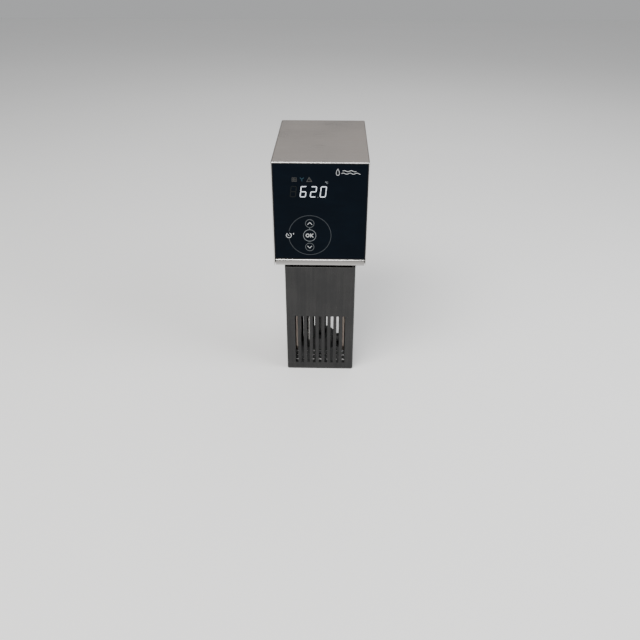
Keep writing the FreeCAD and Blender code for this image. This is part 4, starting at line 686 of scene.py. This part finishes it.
def cross(build, reach, wide, height):
    """A loop in the shape of a plus sign."""
    corner = [(reach, -wide), (reach, wide), (wide, wide)]
    spots = []
    for quarter in range(4):
        turn = Matrix.Rotation(math.pi / 2 * quarter, 2)
        spots += [turn @ Vector(point) for point in corner]
    return [build.verts.new((spot.x, spot.y, height)) for spot in spots]


def loop_edges(build, loop):
    """The edges between a loop's vertices."""
    return [build.edges.get((vertex, loop[(i + 1) % len(loop)])) for i, vertex in enumerate(loop)]


def pan_screw(build, seat, outward, length):
    """One screw: its head stands outward from its seat, its shank goes in."""
    first = len(build.verts)
    shank = [loop_at(build, SHANK_ROUND * SHANK_TIP, -length),
             loop_at(build, SHANK_ROUND, -length + SHANK_ROUND * 0.5),
             loop_at(build, SHANK_ROUND, 0.0)]
    head = [loop_at(build, HEAD_ROUND * r, HEAD_TALL * z) for r, z in HEAD_PROFILE]
    build.faces.new(list(reversed(shank[0])))
    for lower, upper in zip(shank + head, (shank + head)[1:]):
        wall(build, lower, upper)
    mouth = cross(build, RECESS_REACH, RECESS_WIDE, HEAD_TALL)
    foot = cross(build, RECESS_REACH * 0.75, RECESS_WIDE * 0.8, HEAD_TALL - RECESS_DEEP)
    wall(build, foot, mouth)
    build.faces.new(foot)
    rim = loop_edges(build, head[-1])
    lip = loop_edges(build, mouth)
    bmesh.ops.triangle_fill(build, use_beauty=True, edges=rim + lip, normal=(0, 0, 1))
    stand(build, first, seat, outward)


def set_of_screws(name, seats, length, body="housing"):
    """All the screws of one CAD node."""
    build = bmesh.new()
    for seat, outward in seats:
        pan_screw(build, Vector(seat) * MM, outward, length * MM)
    piece = finished(name + "_cross_heads", build, zinc, body)
    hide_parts(name)


# Seats and lengths are in mm. Screws go in from the sides and the back of the casing, through the
# inlet's flange, from the sides of the guard, and upward through the bracket.
SIDES = (-1, 1)
CASING_SIDE = 66.0
CASING_BACK = 95.0
CASING_ROW = 41.0
INLET_FLANGE = 98.0
INLET_ROW = 72.0
GUARD_SIDE = 51.5
GUARD_ROW = 19.0
BRACKET_FACE = 31.0
CASING_LENGTH = 7.0
GUARD_LENGTH = 5.0
BRACKET_LENGTH = 8.5
zinc = turned("zinc_plate", (0.62, 0.63, 0.65), (0.48, 0.48, 0.5), 0.3)
casing_seats = [((side * CASING_SIDE, y, CASING_ROW), (side, 0, 0))
                for side in SIDES for y in (-74.0, -8.0, 66.0)]
casing_seats += [((side * 52.0, CASING_BACK, CASING_ROW), (0, 1, 0)) for side in SIDES]
casing_seats += [((x, INLET_FLANGE, INLET_ROW), (0, 1, 0)) for x in (-52.0, -12.0)]
set_of_screws("casing_screws", casing_seats, CASING_LENGTH)
guard_seats = [((side * GUARD_SIDE, y, GUARD_ROW), (side, 0, 0))
               for side in SIDES for y in (-82.0, -58.0)]
set_of_screws("guard_screws", guard_seats, GUARD_LENGTH)
bracket_seats = [((side * 12.0, y, BRACKET_FACE), (0, 0, -1))
                 for side in SIDES for y in (10.5, 31.5)]
set_of_screws("bracket_screws", bracket_seats, BRACKET_LENGTH)


# ---------------------------------------------------------------- turned, drawn and brass parts
# The shaft, probes and float stem are ground stainless; heater nuts, the clamp's bush, standoffs
# and mains pins are brass; the heaters have tinted with heat.

ground_steel = turned("ground_steel", (0.62, 0.61, 0.6), (0.5, 0.49, 0.48), 0.18)
brass = turned("brass", (0.78, 0.6, 0.3), (0.6, 0.44, 0.2), 0.26)
heat_steel = turned("heat_steel", (0.42, 0.36, 0.30), (0.25, 0.2, 0.19), 0.34)
aluminium = turned("aluminium", (0.74, 0.75, 0.76), (0.62, 0.63, 0.64), 0.38)
dress(zinc, "motor_posts")
dress(ground_steel, "pump_shaft", "temperature_probe", "dry_run_probe", "float_stem", "float_clip",
      "pad_cup", "motor_bearings")
dress(brass, "heater_nuts", "threaded_bush", "board_standoffs", "power_standoffs", "inlet_pins")
dress(heat_steel, "heater_hairpins")
dress(aluminium, "heat_sink")


# ---------------------------------------------------------------- clamp
# A folded plate under the head carries a brass bush and a threaded spindle. Its black lobed knob
# drives a rubber-faced pad that grips the pot's rim against the ribbed rubber on the fixed jaw.

clamp_steel = brushed_sheet("clamp_steel", (0.40, 0.388, 0.376), (0.32, 0.308, 0.296), "Z", 0.34)
dress(clamp_steel, "clamp_bracket")
RUBBER_SHADES = ((0.017, 0.017, 0.018), (0.035, 0.035, 0.036))
black_rubber = moulded("black_rubber", *RUBBER_SHADES, 0.66, 700.0, 0.00005)
dress(black_rubber, "shaft_seal", "flange_gasket")

THREAD_LEAD = 2.0 * MM
THREAD_DEEP = 0.9 * MM
THREAD_STEP = 0.2 * MM
THREAD_SLOPE = 4.0
THREAD_CREST = 0.55
SPINDLE_SIDES = 40
spindle_low, spindle_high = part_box("clamp_spindle")
spindle_round = (spindle_high[0] - spindle_low[0]) / 2
ball_round = spindle_round - 1 * MM
shoulder_at = 4.8 * MM


def thread_radius(turn, height):
    """A trapezoidal right-hand thread."""
    phase = (height / THREAD_LEAD - turn / math.tau) % 1.0
    ramp = abs(phase - 0.5) * THREAD_SLOPE - THREAD_CREST
    return spindle_round - THREAD_DEEP * min(1.0, max(0.0, 1.0 - ramp))


def threaded_spindle():
    build = bmesh.new()
    length = spindle_high[1] - spindle_low[1]
    turns = [math.tau * i / SPINDLE_SIDES for i in range(SPINDLE_SIDES)]
    nose = ((ball_round * 0.8, 0.0), (ball_round, 0.5 * MM), (ball_round, shoulder_at))
    loops = [loop_at(build, radius, height, SPINDLE_SIDES) for radius, height in nose]
    steps = int((length - shoulder_at) / THREAD_STEP)
    for i in range(steps + 1):
        height = shoulder_at + (length - shoulder_at) * i / steps
        spots = []
        for turn in turns:
            radius = thread_radius(turn, height)
            spot = (radius * math.cos(turn), radius * math.sin(turn), height)
            spots.append(build.verts.new(spot))
        loops.append(spots)
    build.faces.new(list(reversed(loops[0])))
    for lower, upper in zip(loops, loops[1:]):
        wall(build, lower, upper)
    build.faces.new(loops[-1])
    stand(build, 0, Vector((0, spindle_low[1], 0)), (0, 1, 0))
    piece = finished("threaded_spindle", build, ground_steel, "clamp_screw")
    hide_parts("clamp_spindle")


threaded_spindle()

knob_plastic = moulded("knob_plastic", (0.014, 0.014, 0.015), (0.024, 0.024, 0.025), 0.45)
knob_low, knob_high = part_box("clamp_knob")
KNOB_LOBES = 7
KNOB_SIDES = 126
KNOB_EDGE = 2.6 * MM
LOBE_DEEP = 3.2 * MM
DISH_ROUND = 9 * MM
knob_round = (knob_high[2] - knob_low[2]) / 2
knob_deep = knob_high[1] - knob_low[1]
bore_deep = knob_deep - 6 * MM


def knob_loop(build, inset, height):
    """The knob's lobed outline, moved in by `inset`."""
    spots = []
    for i in range(KNOB_SIDES):
        turn = math.tau * i / KNOB_SIDES
        swell = max(0.0, math.cos(KNOB_LOBES * turn)) ** 1.5
        radius = knob_round - LOBE_DEEP * swell - inset
        spots.append(build.verts.new((radius * math.cos(turn), radius * math.sin(turn), height)))
    return spots


def lobed_knob():
    """Rounded at both rims, bored for the spindle below and dished for its cap above."""
    build = bmesh.new()
    loops = []
    arc = [math.pi / 2 * i / 5 for i in range(6)]
    bore = spindle_round
    for radius, height in ((bore, bore_deep), (bore, 0.3 * MM), (bore + 0.5 * MM, 0.0)):
        loops.append(loop_at(build, radius, height, KNOB_SIDES))
    rims = [(KNOB_EDGE * (1 - math.sin(a)), KNOB_EDGE * (1 - math.cos(a))) for a in arc]
    loops += [knob_loop(build, inset, drop) for inset, drop in rims]
    loops += [knob_loop(build, inset, knob_deep - drop) for inset, drop in reversed(rims)]
    dish = ((DISH_ROUND + 1.2 * MM, 0.0), (DISH_ROUND, 0.6 * MM), (DISH_ROUND, 2 * MM))
    loops += [loop_at(build, radius, knob_deep - drop, KNOB_SIDES) for radius, drop in dish]
    build.faces.new(loops[0])
    for lower, upper in zip(loops, loops[1:]):
        wall(build, lower, upper)
    build.faces.new(loops[-1])
    stand(build, 0, Vector((0, knob_low[1], 0)), (0, 1, 0))
    piece = finished("lobed_knob", build, knob_plastic, "clamp_screw")
    for face in piece.data.polygons:
        face.use_smooth = True
    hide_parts("clamp_knob")


lobed_knob()

cap_low, cap_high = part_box("knob_cap")
CAP_SIDES = 48


def spun_cap():
    """An aluminium disc, rounded at its rim and a little hollow in its face."""
    build = bmesh.new()
    radius = (cap_high[0] - cap_low[0]) / 2
    tall = cap_high[1] - cap_low[1]
    stations = [(0.97, 0.0), (1.0, 0.2 * MM), (1.0, tall - 0.7 * MM), (0.95, tall - 0.2 * MM),
                (0.8, tall), (0.62, tall), (0.58, tall - 0.25 * MM), (0.1, tall - 0.35 * MM)]
    lathe(build, [(radius * share, height) for share, height in stations], CAP_SIDES)
    stand(build, 0, Vector((0, cap_low[1], 0)), (0, 1, 0))
    piece = finished("spun_cap", build, aluminium, "clamp_screw")
    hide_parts("knob_cap")


spun_cap()

jaw_low, jaw_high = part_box("jaw_pad")
JAW_RIBS = 9
RIB_DEEP = 0.7 * MM
RIB_EDGE = 0.12 * MM
RIB_PROFILE = [(RIB_DEEP, 0.02), (RIB_DEEP, 0.16), (RIB_EDGE, 0.28), (0.0, 0.42),
               (0.0, 0.62), (RIB_EDGE, 0.76), (RIB_DEEP, 0.88)]


def ribbed_jaw_pad():
    """A bar of rubber with ribs across its face, so that a wet rim doesn't slide."""
    build = bmesh.new()
    tall = jaw_high[2] - jaw_low[2]
    pitch = tall / JAW_RIBS
    outline = [(jaw_low[1], jaw_high[2]), (jaw_low[1], jaw_low[2])]
    for number in range(JAW_RIBS):
        z = jaw_low[2] + number * pitch
        outline += [(jaw_high[1] - deep, z + pitch * share) for deep, share in RIB_PROFILE]
    ends = [[build.verts.new((x, y, z)) for y, z in outline] for x in (jaw_low[0], jaw_high[0])]
    wall(build, *ends)
    build.faces.new(ends[0])
    build.faces.new(list(reversed(ends[1])))
    piece = finished("ribbed_jaw_pad", build, black_rubber, "housing")
    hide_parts("jaw_pad")


ribbed_jaw_pad()

foot_low, foot_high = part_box("pressure_pad")
FOOT_SIDES = 56
FOOT_RINGS = 3
RING_PITCH = 3.6 * MM
GROOVE_DEEP = 0.5 * MM


def ringed_foot():
    """A rubber disc with rings moulded in its face."""
    build = bmesh.new()
    radius = (foot_high[0] - foot_low[0]) / 2
    thick = foot_high[1] - foot_low[1]
    bottom = thick - GROOVE_DEEP
    profile = [(radius - 0.5 * MM, 0.0), (radius, 0.5 * MM), (radius, thick - 0.7 * MM),
               (radius - 0.6 * MM, thick)]
    for number in range(FOOT_RINGS):
        out = radius - 2.4 * MM - number * RING_PITCH
        profile += [(out, thick), (out - 0.4 * MM, bottom), (out - 1.4 * MM, bottom),
                    (out - 1.8 * MM, thick)]
    lathe(build, profile, FOOT_SIDES)
    stand(build, 0, Vector((0, foot_high[1], 0)), (0, -1, 0))
    piece = finished("ringed_foot", build, black_rubber, "clamp_shoe")
    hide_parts("pressure_pad")


ringed_foot()


# ---------------------------------------------------------------- mains parts at the back
# A moulded inlet with three brass pins, a red rocker on two pins in its body with its on and off
# marks printed in white, and a breaker with a white button that pops out.

mains_black = moulded("mains_black", (0.012, 0.012, 0.013), (0.022, 0.022, 0.023), 0.36)
white_nylon = moulded("white_nylon", (0.62, 0.62, 0.58), (0.74, 0.74, 0.7), 0.4)
dress(mains_black, "mains_inlet", "switch_body", "breaker_body")
dress(moulded("rocker_red", (0.36, 0.02, 0.014), (0.5, 0.03, 0.02), 0.28), "power_rocker")
dress(white_nylon, "breaker_button")

rocker_low, rocker_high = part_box("power_rocker")
rocker_x = (rocker_low[0] + rocker_high[0]) / 2
rocker_z = (rocker_low[2] + rocker_high[2]) / 2
ROCKER_FLAT = 97.5 * MM
ROCKER_SLOPE = 3.2 / 12.4


def on_rocker(spot):
    """A point just off the rocker's two faces, in mm from its middle."""
    y = ROCKER_FLAT + max(0.0, spot[1] * MM) * ROCKER_SLOPE + PRINT_THICK
    return (rocker_x + spot[0] * MM, y, rocker_z + spot[1] * MM)


white_ink = ink("white_ink", (0.72, 0.72, 0.70))
rocker_marks = [stroke([(0.0, 3.6), (0.0, 8.0)], 0.9), stroke(ring((0.0, -5.8), 1.9), 0.8, True)]
into_rocker = (0, -PRINT_THICK * 2, 0)
raised_print("rocker_marks", rocker_marks, [], white_ink, on_rocker, into_rocker,
             "rocker")


# ---------------------------------------------------------------- motor
# A painted steel can round a core of laminations wound with copper, held on posts over the base.
# The fan on the shaft and the bush at the column's lower end are moulded in white nylon.

def wound_core():
    finish = Finish("wound_core")
    layers = finish.noise((20.0, 20.0, 2400.0), 1.0)
    patch = finish.noise(60.0, 2.0)
    copper = finish.blend(finish.spread(layers, 0.4, 0.6), (0.30, 0.13, 0.05), (0.52, 0.27, 0.11))
    return finish.skin({
        "Base Color": copper,
        "Metallic": finish.spread(patch, 0.3, 0.7, 0.6, 0.9),
        "Roughness": finish.spread(layers, 0.3, 0.7, 0.3, 0.45),
        "Normal": finish.bump(layers, 0.00008, 0.7),
    })


dress(wound_core(), "stator", "transformer")
PAINT_SHADES = ((0.05, 0.053, 0.056), (0.075, 0.078, 0.082))
dress(moulded("motor_paint", *PAINT_SHADES, 0.42, 900.0, 0.00004), "motor_case")
dress(turned("lamination", (0.4, 0.4, 0.41), (0.28, 0.27, 0.27), 0.4), "rotor_core")
dress(white_nylon, "cooling_fan", "lower_bush")


# ---------------------------------------------------------------- electronics
# Boards with their parts on brass standoffs, and four small coil springs that carry each touch
# key's field from its board to the back of the glass.

BOARD_THICK = 1.6 * MM
PART_BLACK = (0.012, 0.012, 0.013)


def circuit_board(node, axis):
    """Green board over its copper; what stands on its far side along `axis` is a black part."""
    finish = Finish(node + "_green")
    cells = {"Vector": finish.stretched((260.0, 260.0, 260.0)), "Scale": 1.0}
    tracks = finish.add("ShaderNodeTexVoronoi", {"feature": "DISTANCE_TO_EDGE"}, cells, "Distance")
    copper = finish.spread(tracks, 0.02, 0.06)
    fibre = finish.noise(2400.0, 2.0)
    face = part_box(node)[0]["XYZ".index(axis)] + BOARD_THICK
    part = finish.spread(finish.place.along(axis), face + 0.1 * MM, face + 0.2 * MM)
    green = finish.blend(copper, (0.03, 0.17, 0.07), (0.012, 0.09, 0.04))
    return finish.skin({
        "Base Color": finish.blend(part, green, PART_BLACK),
        "Roughness": finish.spread(fibre, 0.3, 0.7, 0.25, 0.38) + part * 0.15,
        "Normal": finish.bump(copper, 0.00003, 0.5),
    })


SPRING_TURNS = 4.5
SPRING_ROUND = 2.6 * MM
SPRING_WIRE = 0.22 * MM
STEPS_A_TURN = 24
WIRE_SIDES = 8
spring_low, spring_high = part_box("touch_springs")


def coil(build, x, z):
    """One coil spring between the touch board and the glass."""
    start = spring_low[1] + SPRING_WIRE
    length = spring_high[1] - spring_low[1] - 2 * SPRING_WIRE
    rings = []
    steps = int(SPRING_TURNS * STEPS_A_TURN)
    for i in range(steps + 1):
        turn = math.tau * SPRING_TURNS * i / steps
        out = Vector((math.cos(turn), 0, math.sin(turn)))
        middle = Vector((x, start + length * i / steps, z)) + out * SPRING_ROUND
        section = []
        for k in range(WIRE_SIDES):
            around = math.tau * k / WIRE_SIDES
            offset = out * math.cos(around) + Vector((0, 1, 0)) * math.sin(around)
            section.append(build.verts.new(middle + offset * SPRING_WIRE))
        rings.append(section)
    build.faces.new(rings[0])
    for lower, upper in zip(rings, rings[1:]):
        wall(build, lower, upper)
    build.faces.new(rings[-1])


def touch_springs():
    build = bmesh.new()
    for step in (-1, 0, 1):
        coil(build, panel_x + KEYS[0] * MM, panel_top + (KEYS[1] + step * KEY_STEP) * MM)
    coil(build, panel_x + TIMER[0] * MM, panel_top + KEYS[1] * MM)
    piece = finished("touch_coils", build, zinc, "housing")
    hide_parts("touch_springs")


touch_springs()
for board, stack in (("touch_board", "Y"), ("control_board", "Y"), ("power_board", "Z")):
    dress(circuit_board(board, stack), board)
dress(moulded("display_black", (0.012, 0.012, 0.014), (0.02, 0.02, 0.022), 0.25), "display_module")
dress(moulded("can_blue", (0.02, 0.03, 0.10), (0.03, 0.045, 0.14), 0.22), "capacitors")
dress(white_nylon, "relays")
